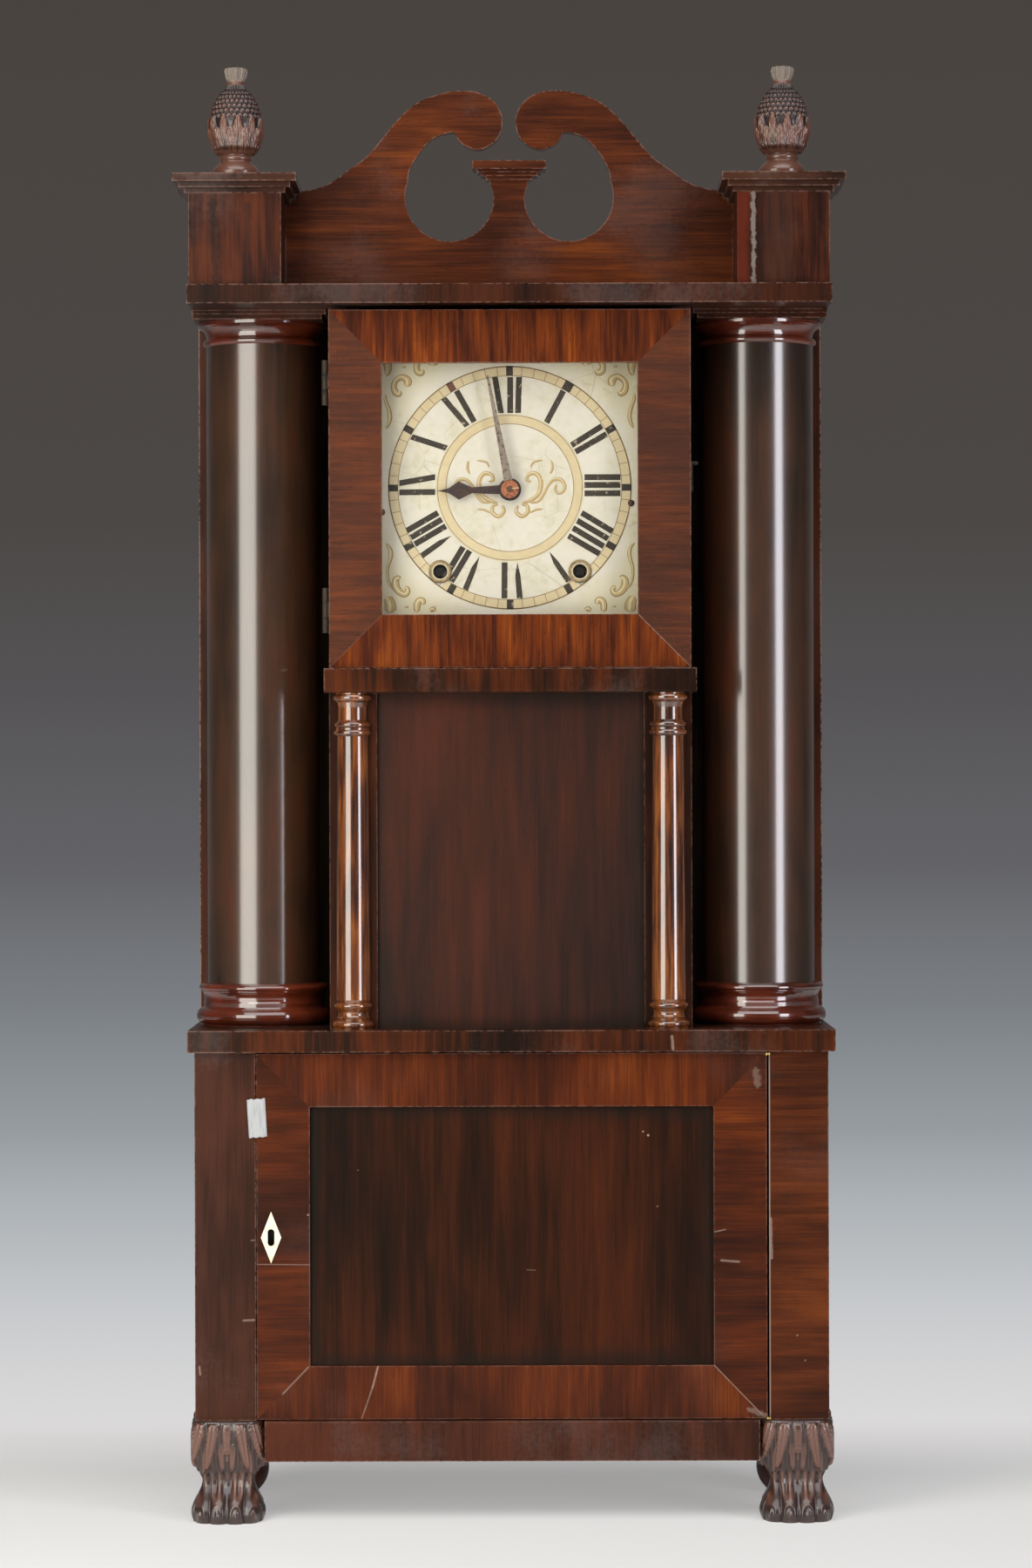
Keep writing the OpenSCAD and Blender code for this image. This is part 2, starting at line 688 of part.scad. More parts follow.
idler_turn = mesh_turn(0, idler_angle, cannon_z, idler_wheel_z);
module motion_idler() {
    stud_r = 1.5;
    color(brass_colour) {
        wheel(idler_at, idler_wheel_z, fine_m, idler_turn, dial_back + 7, dial_back + 9, stud_r + running);
        pinion(idler_at, idler_pinion_z, fine_m, idler_turn, dial_back + 2, dial_back + 7 + eps,
            stud_r + running);
    }
}
module centre_arbor() {
    color(steel_colour) {
        rod(centre_at, arbor_r, minute_y - 1.6, back_plate + stub);
        rod(centre_at, boss_r - 3.5, minute_y - 1.2, minute_y - 0.4);
    }
    color(brass_colour) {
        pinion(centre_at, cannon_z, fine_m, 0, dial_back + 6.6, dial_back + 9.4);
        pinion(centre_at, centre_pinion_z, great_m, 0, great_y - 1.5, great_y + 4.5);
        wheel(centre_at, centre_wheel_z, fine_m, 0, between + 5, between + 7);
    }
}
great_turn = mesh_turn(0, heading(centre_at, time_at), centre_pinion_z, great_z);
module time_great_wheel() {
    color(cherry) wheel(time_at, great_z, great_m, great_turn, great_y, great_y + 3, 3 + running, 5, 6);
}
third_turn = mesh_turn(0, heading(centre_at, third_at), centre_wheel_z, third_pinion_z);
module third_wheel() {
    color(steel_colour) rod(third_at, arbor_r, front_plate + 1, back_plate + stub);
    color(brass_colour) {
        pinion(third_at, third_pinion_z, fine_m, third_turn, between + 3, between + 9);
        wheel(third_at, third_wheel_z, fine_m, third_turn, between + 29, between + 31);
    }
}
escape_turn = mesh_turn(third_turn, heading(third_at, escape_at), third_wheel_z, escape_pinion_z);
module escape_wheel() {
    root_r = 14.5;
    step = 360 / escape_z;
    color(steel_colour) rod(escape_at, arbor_r, front_plate + 1, back_plate + stub);
    color(brass_colour) {
        pinion(escape_at, escape_pinion_z, fine_m, escape_turn, between + 27, between + 33);
        upright_at(escape_at, between + 3, between + 4.5) difference() {
            polygon([for (k = [0:escape_z - 1], i = [0:2])
                let (a = step * (k + [0, 0.3, 0.62][i]), r = [root_r, escape_r, root_r][i])
                    r * [cos(a), sin(a)]]);
            difference() {
                circle(12);
                circle(5);
                for (k = [0:3]) rotate(90 * k) translate([0, -1.5]) square([13, 3]);
            }
        }
    }
}
// Anchor over the escape wheel, with the crutch behind the back plate
module anchor() {
    crutch_len = 74;
    crutch_y = back_plate + plate_t + 4;
    fork_half = 3.4;
    color(steel_colour) {
        rod(anchor_at, 1.8, front_plate + 1, crutch_y + 2);
        upright_at(anchor_at, between + 2.6, between + 5)
            polygon(concat([[13, -10.4], [15.6, -11.4]], arc([0, -6], 16.4, -8, 188, 14),
                [[-15.6, -11.4], [-13, -10.4]], arc([0, -7], 12.2, 190, -10, 14)));
        upright_at(anchor_at, between + 2.6, between + 5) circle(5.5);
        upright_at(anchor_at, between + 2.6, between + 5) translate([-2, 0]) square([4, 8]);
        upright_at(anchor_at, crutch_y, crutch_y + 2) translate([-2, -crutch_len]) square([4, crutch_len]);
        upright_at(anchor_at, crutch_y, crutch_y + 2) translate([-fork_half - 1.6, -crutch_len - 2])
            square([2 * fork_half + 3.2, 4]);
        for (s = [-1, 1]) translate([s * (fork_half + 0.8), 0, anchor_at[1] - crutch_len])
            block([-0.8, crutch_y + 2 - eps, -2], [0.8, pendulum_y + 3, 2]);
    }
}
module pendulum_rod() {
    color(steel_colour) {
        block([-2.4, pendulum_y - 0.4, anchor_at[1] - 20], [2.4, pendulum_y + 0.4, anchor_at[1] + 8.4]);
        translate([0, pendulum_y, anchor_at[1] - pendulum_len - bob_r - 8])
            cylinder(r = 1.6, h = pendulum_len + bob_r + 8 - 18);
    }
}
module pendulum_bob() {
    half_t = 6.5;
    sphere_r = (bob_r * bob_r + half_t * half_t) / (2 * half_t);
    a = asin(bob_r / sphere_r);
    color(brass_colour) translate([0, pendulum_y, anchor_at[1] - pendulum_len]) rotate([90, 0, 0])
    difference() {
        rotate_extrude() polygon(concat([[0, -half_t]],
            [for (i = [1:10]) let (b = a * i / 10) [sphere_r * sin(b) + (i == 10 ? -0.4 : 0),
                -sphere_r * cos(b) + sphere_r - half_t]],
            [for (i = [10:-1:1]) let (b = a * i / 10) [sphere_r * sin(b) + (i == 10 ? -0.4 : 0),
                sphere_r * cos(b) - sphere_r + half_t]], [[0, half_t]]));
        rotate([-90, 0, 0]) translate([0, 0, -bob_r - 1]) cylinder(r = 1.6, h = 2 * bob_r + 2);
    }
}

// Winding drums, weights and pulleys

module drum(at) {
    drum_y = between + 24;
    drum_len = 20;
    flange_r = 15;
    square_w = 5.6;
    color(cherry) {
        rod(at, drum_r, drum_y, drum_y + drum_len);
        rod(at, flange_r, drum_y, drum_y + 1.5);
        rod(at, flange_r, drum_y + drum_len - 1.5, drum_y + drum_len);
    }
    color(steel_colour) {
        rod(at, 3, front_plate - 1.5, back_plate + stub);
        block([at[0] - square_w / 2, dial_front + 1, at[1] - square_w / 2],
            [at[0] + square_w / 2, front_plate - 0.5, at[1] + square_w / 2]);
    }
}
module time_drum() drum(time_at);
module strike_drum() drum(strike_at);
module weight(side) {
    color(iron_colour) translate([side * column_x, column_y, weight_z]) rotate_extrude() polygon(concat(
        [[0, 0], [weight_r - 2, 0], [weight_r, 2], [weight_r, weight_len - 2], [weight_r - 2, weight_len]],
        [[4, weight_len]], arc([0, weight_len + 4], 5, -20, 90, 6)));
}
module time_weight() weight(1);
module strike_weight() weight(-1);
module pulley(side) {
    half_t = 3;
    color(brass_colour) translate([side * (column_x - pulley_r), column_y, pulley_z]) rotate([90, 0, 0])
        rotate_extrude() polygon([[pulley_axle_r + running, -half_t], [pulley_r, -half_t], [pulley_r, -2.2],
            [pulley_groove, -0.8], [pulley_groove, 0.8], [pulley_r, 2.2], [pulley_r, half_t],
            [pulley_axle_r + running, half_t]]);
}
module time_pulley() pulley(1);
module strike_pulley() pulley(-1);
module pulley_brackets() {
    px = column_x - pulley_r;
    cheek = 6;
    color(iron_colour) both_sides() {
        for (s = [-1, 1]) block([px - 4, column_y + s * cheek - 1, pulley_z - 5],
            [px + 4, column_y + s * cheek + 1, cornice_z]);
        block([px - 4, column_y - cheek, cornice_z - 3], [px + 4, column_y + cheek, cornice_z]);
        rod([px, pulley_z], pulley_axle_r, column_y - cheek - 1, column_y + cheek + 1);
    }
}

// Strike train

strike_turn = 2;
module strike_great_wheel() {
    pins = 24;
    pin_at = 52.5;
    color(cherry) wheel(strike_at, great_z, great_m, strike_turn, strike_y, strike_y + 3, strike_bore, 5, 6);
    color(steel_colour) for (k = [0:pins - 1])
        rod(strike_at + pin_at * [cos(k * 360 / pins), sin(k * 360 / pins)], 1.2,
            strike_y + 3 - eps, strike_y + 6);
}
second_turn = mesh_turn(strike_turn, second_angle, great_z, second_pinion_z);
// The second arbor carries the fly's broad vanes, which slow the strike
module strike_second_wheel() {
    vane_r = 22;
    color(steel_colour) rod(second_at, arbor_r, front_plate + 1, back_plate + stub);
    color(brass_colour) {
        pinion(second_at, second_pinion_z, great_m, second_turn, strike_y - 2, strike_y + 5);
        block([second_at[0] - vane_r, between + 28, second_at[1] - 0.6],
            [second_at[0] + vane_r, between + 42, second_at[1] + 0.6]);
    }
}
module bell() {
    bell_r = 34;
    h = 28;
    wall = 2.4;
    color(brass_colour) translate([bell_at[0], bell_at[1], bell_z]) {
        rotate_extrude() polygon(concat(
            smooth([[bell_r, 0], [bell_r - 1.5, 4], [bell_r - 4, 12], [bell_r - 12, 22], [4, h]], 5),
            [[0, h], [0, h - wall]], smooth([[4, h - wall], [bell_r - 14, 21 - wall], [bell_r - 6.6, 11],
                [bell_r - wall - 1.5, 4], [bell_r - wall, 0]], 5), [[bell_r - wall, 0]]));
        translate([0, 0, h - 1]) cylinder(r = 2.4, h = 556 - bell_z - h + 1);
    }
}
module hammer() {
    head_x = -29.2;
    head_z = bell_z + 6;
    arm_y = bell_at[1];
    color(steel_colour) {
        rod(hammer_at, 1.6, front_plate + 2, back_plate + 2);
        upright(arm_y - 1.2, arm_y + 1.2) polygon([[hammer_at[0] - 1.5, hammer_at[1]],
            [hammer_at[0] + 1.5, hammer_at[1]], [head_x + 1.4, head_z], [head_x - 1.4, head_z]]);
        translate([head_x - 5, arm_y, head_z]) rotate([0, 90, 0]) cylinder(r = 4.5, h = 11);
        upright(strike_y + 3.6, strike_y + 5.6) polygon([[hammer_at[0] - 1.5, hammer_at[1]],
            [hammer_at[0] + 1.5, hammer_at[1]], [hammer_at[0] - 2, hammer_at[1] + 18],
            [hammer_at[0] - 4, hammer_at[1] + 18]]);
    }
}

// Movement frame and what it rests on

arbors = [[centre_at, arbor_r], [third_at, arbor_r], [escape_at, arbor_r], [anchor_at, 1.8], [time_at, 3],
    [strike_at, 3], [second_at, arbor_r]];
module movement_frame() {
    pillar_x = 92;
    pillar_z = [plate_z[0] + 9, plate_z[1] - 9];
    cock_z = [anchor_at[1] + 9, anchor_at[1] + 17];
    color(oak) {
        for (y = [front_plate, back_plate]) difference() {
            block([-plate_half, y, plate_z[0]], [plate_half, y + plate_t, plate_z[1]]);
            for (a = arbors) rod(a[0], a[1] + running, y - 1, y + plate_t + 1);
        }
        for (x = [-pillar_x, pillar_x], z = pillar_z) rod([x, z], 5, between - eps, back_plate + eps);
        rod(idler_at, 1.5, front_plate - 9, front_plate + eps);
        block([-5, back_plate + plate_t - eps, cock_z[0]], [5, pendulum_y + 4, cock_z[1]]);
    }
}
module seat_rails() {
    rail_z = [555, plate_z[0]];
    color(oak) {
        difference() {
            for (y = [front_plate - 4, back_plate - 4])
                block([-hood_inner, y, rail_z[0]], [hood_inner, y + 12, rail_z[1]]);
            rod(hammer_at, 1.6 + running, front_plate - 5, back_plate + 9);
        }
        block([bell_at[0] - 7, between + 3 - eps, 556], [bell_at[0] + 7, back_plate - 4 + eps, 562]);
    }
}

// Hinges: two outer knuckles on the case and one on the upper door; the base door has knife hinges

// A knife hinge's eye stands in front of the door's corner, on an arm let into the wood
module knife_arm(z, h) {
    translate([base_pin_x, base_pin_y, z]) cylinder(r = knife_r, h = h);
    block([base_pin_x - knife_r, base_pin_y, z], [base_door_half, base_front + 7, z + h]);
    block([base_pin_x - knife_len, base_front + 1.2, z], [base_door_half, base_front + 7, z + h]);
}
// The seats cut for the arms in the rail, the foot and the waist board
module knife_seats() {
    knife_arm(rail_top - knife_t, knife_t + 1);
    knife_arm(waist_z - 1, knife_t + 1);
}
module fixed_hinge_leaves() {
    leaf_w = 14;
    span = 3 * knuckle_len + 2 * seat_gap;
    color(brass_colour) {
        for (z = upper_hinge_z) difference() {
            fixed_upper_leaf(z, leaf_w, span);
            translate([upper_pin_x, upper_pin_y, z - seat_gap])
                cylinder(r = knuckle_r + seat_gap, h = knuckle_len + 2 * seat_gap);
        }
        for (z = upper_hinge_z) translate([upper_pin_x, upper_pin_y, z - knuckle_len])
            cylinder(r = pin_r, h = 3 * knuckle_len);
        knife_arm(rail_top - knife_t, knife_t);
        knife_arm(waist_z, knife_t);
        translate([base_pin_x, base_pin_y, rail_top - eps])
            cylinder(r = pin_r, h = base_door_z + knife_t - rail_top + eps);
        translate([base_pin_x, base_pin_y, base_door_top - knife_t])
            cylinder(r = pin_r, h = waist_z - base_door_top + knife_t + eps);
    }
}
// An upper hinge's leaf on the side of the central box
module fixed_upper_leaf(z, leaf_w, span) {
    z0 = z - knuckle_len - seat_gap;
    block([-hood_half - leaf_t, upper_pin_y + 0.2, z0], [-hood_half, upper_pin_y + leaf_w, z0 + span]);
    for (dz = [-knuckle_len - seat_gap, knuckle_len + seat_gap])
        translate([upper_pin_x, upper_pin_y, z + dz]) cylinder(r = knuckle_r, h = knuckle_len);
}

// Upper door

module upper_door_frame() {
    color(flame) difference() {
        block([-door_half, door_front, door_bottom], [door_half, door_back, door_top]);
        block([-door_sight, door_front - 1, door_bottom + door_member],
            [door_sight, door_back + 1, door_top - door_member]);
        block([-door_sight - rebate, glass_y, door_bottom + door_member - rebate],
            [door_sight + rebate, door_back + 1, door_top - door_member + rebate]);
    }
}
module upper_glass() {
    over = rebate - seat_gap;
    glass_t = 2;
    color([0.8, 0.85, 0.85, 0.4])
        block([-door_sight - over, glass_y, door_bottom + door_member - over],
            [door_sight + over, glass_y + glass_t, door_top - door_member + over]);
}
module upper_door_fittings() {
    leaf_w = 14;
    color(brass_colour) {
        for (z = upper_hinge_z) difference() {
            union() {
                translate([upper_pin_x, upper_pin_y, z]) cylinder(r = knuckle_r, h = knuckle_len);
                block([-door_half - leaf_t, door_back - leaf_w, z],
                    [-door_half, door_back - 0.2, z + knuckle_len]);
            }
            translate([upper_pin_x, upper_pin_y, z - 1]) cylinder(r = pin_r + running, h = knuckle_len + 2);
        }
        translate([door_half, catch_y, hook_z]) rotate([0, 90, 0]) cylinder(r = 1.3, h = 5);
    }
}
// The hook hangs from its screw on the right side of the box
module latch_hook() {
    x = hood_half + seat_gap;
    len = 16;
    color(brass_colour) difference() {
        union() {
            translate([x, hook_y, hook_z]) rotate([0, 90, 0]) cylinder(r = 3, h = 1.6);
            block([x, hook_y - 1.4, hook_z - len], [x + 1.6, hook_y + 1.4, hook_z - 1]);
            translate([x, hook_y - 1.6, hook_z - len]) rotate([0, 90, 0]) cylinder(r = 2.6, h = 1.6);
        }
        translate([x - 1, hook_y - 2.6, hook_z - len + 0.6]) rotate([0, 90, 0]) cylinder(r = 1.4, h = 4);
    }
}

// Base door and its lock

// The keyhole is an upright slot with round ends
module keyhole(y0, y1) {
    half_h = 3.4;
    r = 2.3;
    for (z = [lock_z - half_h, lock_z + half_h]) rod([lock_x, z], r, y0, y1);
    block([lock_x - r, y0, lock_z - half_h], [lock_x + r, y1, lock_z + half_h]);
}
module base_door_frame() {
    color(flame) difference() {
        block([-base_door_half, base_front, base_door_z], [base_door_half, base_door_back, base_door_top]);
        block([-base_door_sight, base_front - 1, base_door_z + base_door_member],
            [base_door_sight, base_door_back + 1, base_door_top - base_door_member]);
        block([-base_door_sight - rebate, base_panel_y, base_door_z + base_door_member - rebate],
            [base_door_sight + rebate, base_door_back + 1, base_door_top - base_door_member + rebate]);
        block([-base_door_half - 1, bolt_y - 4, lock_z - 16],
            [-base_door_half + lock_case_w, base_door_back + 1, lock_z + 16]);
        keyhole(base_front - 1, bolt_y);
        knife_arm(base_door_z - 1, knife_t + 1);
        knife_arm(base_door_top - knife_t, knife_t + 1);
    }
}
module base_door_panel() {
    over = rebate - 0.2;
    half = base_door_sight + over;
    color(dark_wood) block([-half, base_panel_y, base_door_z + base_door_member - over],
        [half, base_panel_y + 6, base_door_top - base_door_member + over]);
}
module base_hinge_leaves() {
    color(brass_colour) for (z = [base_door_z, base_door_top - knife_t]) difference() {
        knife_arm(z, knife_t);
        translate([base_pin_x, base_pin_y, z - 1]) cylinder(r = pin_r + running, h = knife_t + 2);
    }
}
module escutcheon() {
    half_w = 6.9;
    half_h = 17.5;
    color(bone) difference() {
        upright(base_front - 1, base_front) translate([lock_x, lock_z])
            polygon([[-half_w, 0], [0, -half_h], [half_w, 0], [0, half_h]]);
        keyhole(base_front - 2, base_front + 1);
    }
}
module lock_case() {
    color(iron_colour) difference() {
        block([-base_door_half, bolt_y - 4, lock_z - 16],
            [-base_door_half + lock_case_w, base_door_back, lock_z + 16]);
        block([-base_door_half - 1, bolt_y - 2, lock_z - 4],
            [-base_door_half + lock_case_w - 4, bolt_y + 2, lock_z + 4]);
    }
}
module lock_bolt() {
    color(brass_colour) block([-base_door_half + 0.2, bolt_y - 1.9, lock_z - 3.9],
        [-base_door_half + lock_case_w - 6, bolt_y + 1.9, lock_z + 3.9]);
}

backboard();
upper_sides();
base_sides();
base_stiles();
bottom_rail();
bottom_board();
waist_board();
cornice_board();
bed_mouldings();
hood_sides();
sill_moulding();
mid_stiles();
mid_panel();
pilasters();
column_shaft_left();
column_shaft_right();
column_capitals();
column_bases();
plinth_blocks();
plinth_caps();
finials();
crest();
front_feet();
rear_feet();
dial();
grommets();
movement_frame();
seat_rails();
bell();
fixed_hinge_leaves();
pulley_brackets();
upper_door_frame();
upper_glass();
upper_door_fittings();
latch_hook();
base_door_frame();
base_door_panel();
base_hinge_leaves();
escutcheon();
lock_case();
lock_bolt();
pendulum_rod();
pendulum_bob();
anchor();
minute_hand();
centre_arbor();
hour_hand();
motion_idler();
time_great_wheel();
third_wheel();
escape_wheel();
time_drum();
strike_drum();
time_weight();
strike_weight();
time_pulley();
strike_pulley();
strike_great_wheel();
strike_second_wheel();
hammer();
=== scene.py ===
"""Looks of a hollow column shelf clock: figured mahogany, carved paws and finials, painted dial.

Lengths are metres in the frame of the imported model: X right, front -Y, Z up. Tables of carved and
painted shapes are in millimetres where they say so.
"""

import logging
import math
from dataclasses import dataclass, field
from enum import Enum

import bpy
import numpy as np
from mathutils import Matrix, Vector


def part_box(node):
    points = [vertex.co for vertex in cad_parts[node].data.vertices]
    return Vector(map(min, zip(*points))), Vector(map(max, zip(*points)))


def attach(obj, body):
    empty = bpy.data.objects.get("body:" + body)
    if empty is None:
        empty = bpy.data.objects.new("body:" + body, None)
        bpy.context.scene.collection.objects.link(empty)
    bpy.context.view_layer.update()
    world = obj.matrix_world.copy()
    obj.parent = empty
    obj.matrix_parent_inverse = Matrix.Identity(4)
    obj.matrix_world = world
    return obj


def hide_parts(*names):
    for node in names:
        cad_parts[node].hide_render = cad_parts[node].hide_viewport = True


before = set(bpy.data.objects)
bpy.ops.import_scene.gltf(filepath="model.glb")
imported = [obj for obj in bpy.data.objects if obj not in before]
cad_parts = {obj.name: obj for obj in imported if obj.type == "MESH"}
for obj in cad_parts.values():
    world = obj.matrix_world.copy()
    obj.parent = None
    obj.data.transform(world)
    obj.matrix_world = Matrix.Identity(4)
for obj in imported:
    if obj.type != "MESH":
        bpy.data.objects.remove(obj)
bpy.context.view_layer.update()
LOG = logging.getLogger("clock")
MM = 0.001
# Half of the width over which one finish gives way to the next at a sharp border
BORDER = 0.3 * MM

Triple = tuple[float, float, float]
Colour = Triple
Spot = tuple[float, float]


class Grain(Enum):
    """Which way the grain of a wooden piece runs."""

    UP = "up"
    SIDEWAYS = "sideways"
    BANDED = "banded"


# Shader tools


class Wire:
    """A number or vector socket on which shader maths is written as Python expressions."""

    def __init__(self, bench: "Bench", socket: bpy.types.NodeSocket) -> None:
        """Keeps the material being built and the socket that gives the value."""
        self.bench = bench
        self.socket = socket

    def _math(self, kind: str, *values: "Wire | float") -> "Wire":
        """Adds one Math node and returns its result."""
        return self.bench.node("ShaderNodeMath", {"operation": kind}, dict(enumerate(values)))

    def __add__(self, other: "Wire | float") -> "Wire":
        """Sum."""
        return self._math("ADD", self, other)

    def __radd__(self, other: float) -> "Wire":
        """Sum with a number on the left."""
        return self._math("ADD", other, self)

    def __sub__(self, other: "Wire | float") -> "Wire":
        """Difference."""
        return self._math("SUBTRACT", self, other)

    def __rsub__(self, other: float) -> "Wire":
        """Difference from a number on the left."""
        return self._math("SUBTRACT", other, self)

    def __mul__(self, other: "Wire | float") -> "Wire":
        """Product."""
        return self._math("MULTIPLY", self, other)

    def __rmul__(self, other: float) -> "Wire":
        """Product with a number on the left."""
        return self._math("MULTIPLY", other, self)

    def __pow__(self, other: float) -> "Wire":
        """Power."""
        return self._math("POWER", self, other)

    def size(self) -> "Wire":
        """Value without its sign."""
        return self._math("ABSOLUTE", self)

    def least(self, other: "Wire | float") -> "Wire":
        """The smaller of two values."""
        return self._math("MINIMUM", self, other)

    def most(self, other: "Wire | float") -> "Wire":
        """The larger of two values."""
        return self._math("MAXIMUM", self, other)

    def rise(self, low: float, high: float) -> "Wire":
        """Smooth step, 3t^2 - 2t^3 of the way t between two values, flat beyond them.

        Args:
            low: Value where the result is 0.
            high: Value where the result is 1; it may lie below low.

        Returns:
            The step, from 0 to 1.
        """
        flip = low > high
        ends = (high, low) if flip else (low, high)
        step = self.bench.node(
            "ShaderNodeMapRange",
            {"interpolation_type": "SMOOTHSTEP", "clamp": True},
            {"Value": self, "From Min": ends[0], "From Max": ends[1]},
        )
        return 1 - step if flip else step


class Bench:
    """Builds one procedural material on Object coordinates."""

    def __init__(self, name: str) -> None:
        """Starts a material with one Principled shader.

        Args:
            name: The material's name.
        """
        self.material = bpy.data.materials.new(name)
        self.material.use_nodes = True
        self.tree = self.material.node_tree
        self.tree.nodes.clear()
        self.output = self.tree.nodes.new("ShaderNodeOutputMaterial")
        self.shader = self.tree.nodes.new("ShaderNodeBsdfPrincipled")
        self.tree.links.new(self.shader.outputs[0], self.output.inputs["Surface"])
        place = self.tree.nodes.new("ShaderNodeTexCoord")
        self.place = Wire(self, place.outputs["Object"])
        parts = self.tree.nodes.new("ShaderNodeSeparateXYZ")
        self.tree.links.new(place.outputs["Object"], parts.inputs[0])
        self.x, self.y, self.z = (Wire(self, parts.outputs[i]) for i in range(3))

    def put(self, socket: bpy.types.NodeSocket, value: object) -> None:
        """Links a Wire to a socket, or sets a constant on it.

        Args:
            socket: A node's input.
            value: A Wire, a number or a tuple; a colour gets an alpha of 1.
        """
        if isinstance(value, Wire):
            self.tree.links.new(value.socket, socket)
        elif isinstance(value, tuple) and socket.type == "RGBA":
            socket.default_value = (*value, 1.0)
        else:
            socket.default_value = value

    def node(self, kind: str, settings: dict, inputs: dict, output: int | str = 0) -> Wire:
        """Adds a node.

        Args:
            kind: The node's type.
            settings: Its properties, set first; "stops" gives a colour ramp's stops.
            inputs: Values or links by socket name or number.
            output: The socket that the result is read from.

        Returns:
            The node's chosen output.
        """
        made = self.tree.nodes.new(kind)
        for key, value in settings.items():
            if key == "stops":
                self._stops(made.color_ramp, value)
            else:
                setattr(made, key, value)
        for key, value in inputs.items():
            self.put(made.inputs[key], value)
        return Wire(self, made.outputs[output])

    def _stops(self, ramp: bpy.types.ColorRamp, stops: list[tuple[float, Colour]]) -> None:
        """Sets a ramp's stops.

        Args:
            ramp: The ramp of a new node.
            stops: A place from 0 to 1 and a colour each.
        """
        while len(ramp.elements) < len(stops):
            ramp.elements.new(1.0)
        for element, (at, colour) in zip(ramp.elements, stops):
            element.position = at
            element.color = (*colour, 1.0)

    def scaled(self, scale: Triple, start: "Wire | None" = None) -> Wire:
        """Place, or another vector, multiplied by a different factor along each axis."""
        vectors = {0: start or self.place, 1: scale}
        return self.node("ShaderNodeVectorMath", {"operation": "MULTIPLY"}, vectors)

    def noise(self, where: Wire, scale: float, detail: float = 2.0, bend: float = 0.0) -> Wire:
        """Perlin noise from 0 to 1."""
        values = {"Vector": where, "Scale": scale, "Detail": detail, "Distortion": bend}
        return self.node("ShaderNodeTexNoise", {}, values)

    def cracks(self, scale: float, width: float) -> Wire:
        """Crack lines where Voronoi cells meet: 1 on the line, 0 from a width off, in shares of a cell."""
        values = {"Vector": self.place, "Scale": scale}
        return self.node("ShaderNodeTexVoronoi", {"feature": "DISTANCE_TO_EDGE"}, values).rise(width, 0.0)

    def reach(self, centre: Spot) -> Wire:
        """Distance across the front from an (x, z) place."""
        return ((self.x - centre[0]) ** 2 + (self.z - centre[1]) ** 2) ** 0.5

    def blend(self, low: "Wire | Colour", high: "Wire | Colour", share: "Wire | float") -> Wire:
        """Mixes two colours by a share from 0 to 1."""
        return self.node("ShaderNodeMix", {"data_type": "RGBA"}, {0: share, 6: low, 7: high}, output=2)

    def blend_places(self, low: Wire, high: Wire, share: Wire) -> Wire:
        """Mixes two vectors by a share from 0 to 1."""
        return self.node("ShaderNodeMix", {"data_type": "VECTOR"}, {0: share, 4: low, 5: high}, output=1)

    def bump(self, height: Wire, strength: float, depth: float) -> None:
        """Roughens the surface by a height field."""
        bumped = self.node("ShaderNodeBump", {}, {"Height": height, "Strength": strength, "Distance": depth})
        self.put(self.shader.inputs["Normal"], bumped)

    def dress(self, **values: object) -> bpy.types.Material:
        """Sets the shader's sockets.

        Args:
            values: What each socket gets, by its name with underscores for spaces.

        Returns:
            The finished material.
        """
        for key, value in values.items():
            self.put(self.shader.inputs[key.replace("_", " ")], value)
        return self.material


@dataclass(frozen=True)
class Box:
    """A piece's lowest and highest corners."""

    low: Triple
    high: Triple

    @classmethod
    def of(cls, node: str) -> "Box":
        """The box of a CAD node at rest."""
        low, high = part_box(node)
        return cls(tuple(low), tuple(high))

    @property
    def middle(self) -> Triple:
        """The box's centre."""
        return tuple((a + b) / 2 for a, b in zip(self.low, self.high))

    @property
    def half(self) -> Triple:
        """Half of each side."""
        return tuple((b - a) / 2 for a, b in zip(self.low, self.high))


# Finishes


def seen(red: float, green: float, blue: float) -> Colour:
    """A colour as it looks on a screen, each part from 0 to 255, turned to linear light."""
    parts = np.array([red, green, blue]) / 255
    return tuple(np.where(parts > 0.04045, ((parts + 0.055) / 1.055) ** 2.4, parts / 12.92).tolist())


@dataclass(frozen=True)
class Mark:
    """A scratch, joint line or speck on the front.

    Attributes:
        start: (x, z) place of one end, in mm.
        end: (x, z) place of the other end, in mm.
        wide: Width of the stroke, in mm.
        share: How much of its colour covers the wood.
        broken: How ragged its edge is, as a share of its width.
        tint: Its colour.
    """

    start: Spot
    end: Spot
    wide: float = 0.8
    share: float = 0.5
    broken: float = 0.5
    tint: Colour = seen(150, 128, 116)

    def mask(self, bench: Bench, ragged: Wire) -> Wire:
        """Where the stroke lies: a place's distance to the line between its ends, stepped at its width.

        Args:
            bench: The material being built.
            ragged: Noise that breaks the edge.

        Returns:
            Share of the stroke's colour at each place.
        """
        (x0, z0), (x1, z1) = [(x * MM, z * MM) for x, z in (self.start, self.end)]
        dx, dz = x1 - x0, z1 - z0
        long = max(math.hypot(dx, dz), 1e-6)
        dx, dz = dx / long, dz / long
        px, pz = bench.x - x0, bench.z - z0
        along = px * dx + pz * dz
        beyond = (along - long).most(-1 * along).most(0.0)
        off = (pz * dx - px * dz).size() + beyond
        half = self.wide * MM / 2
        torn = (ragged - 0.5) * (half * 1.6 * self.broken)
        return (off + torn).rise(half * 1.15, half * 0.4) * self.share


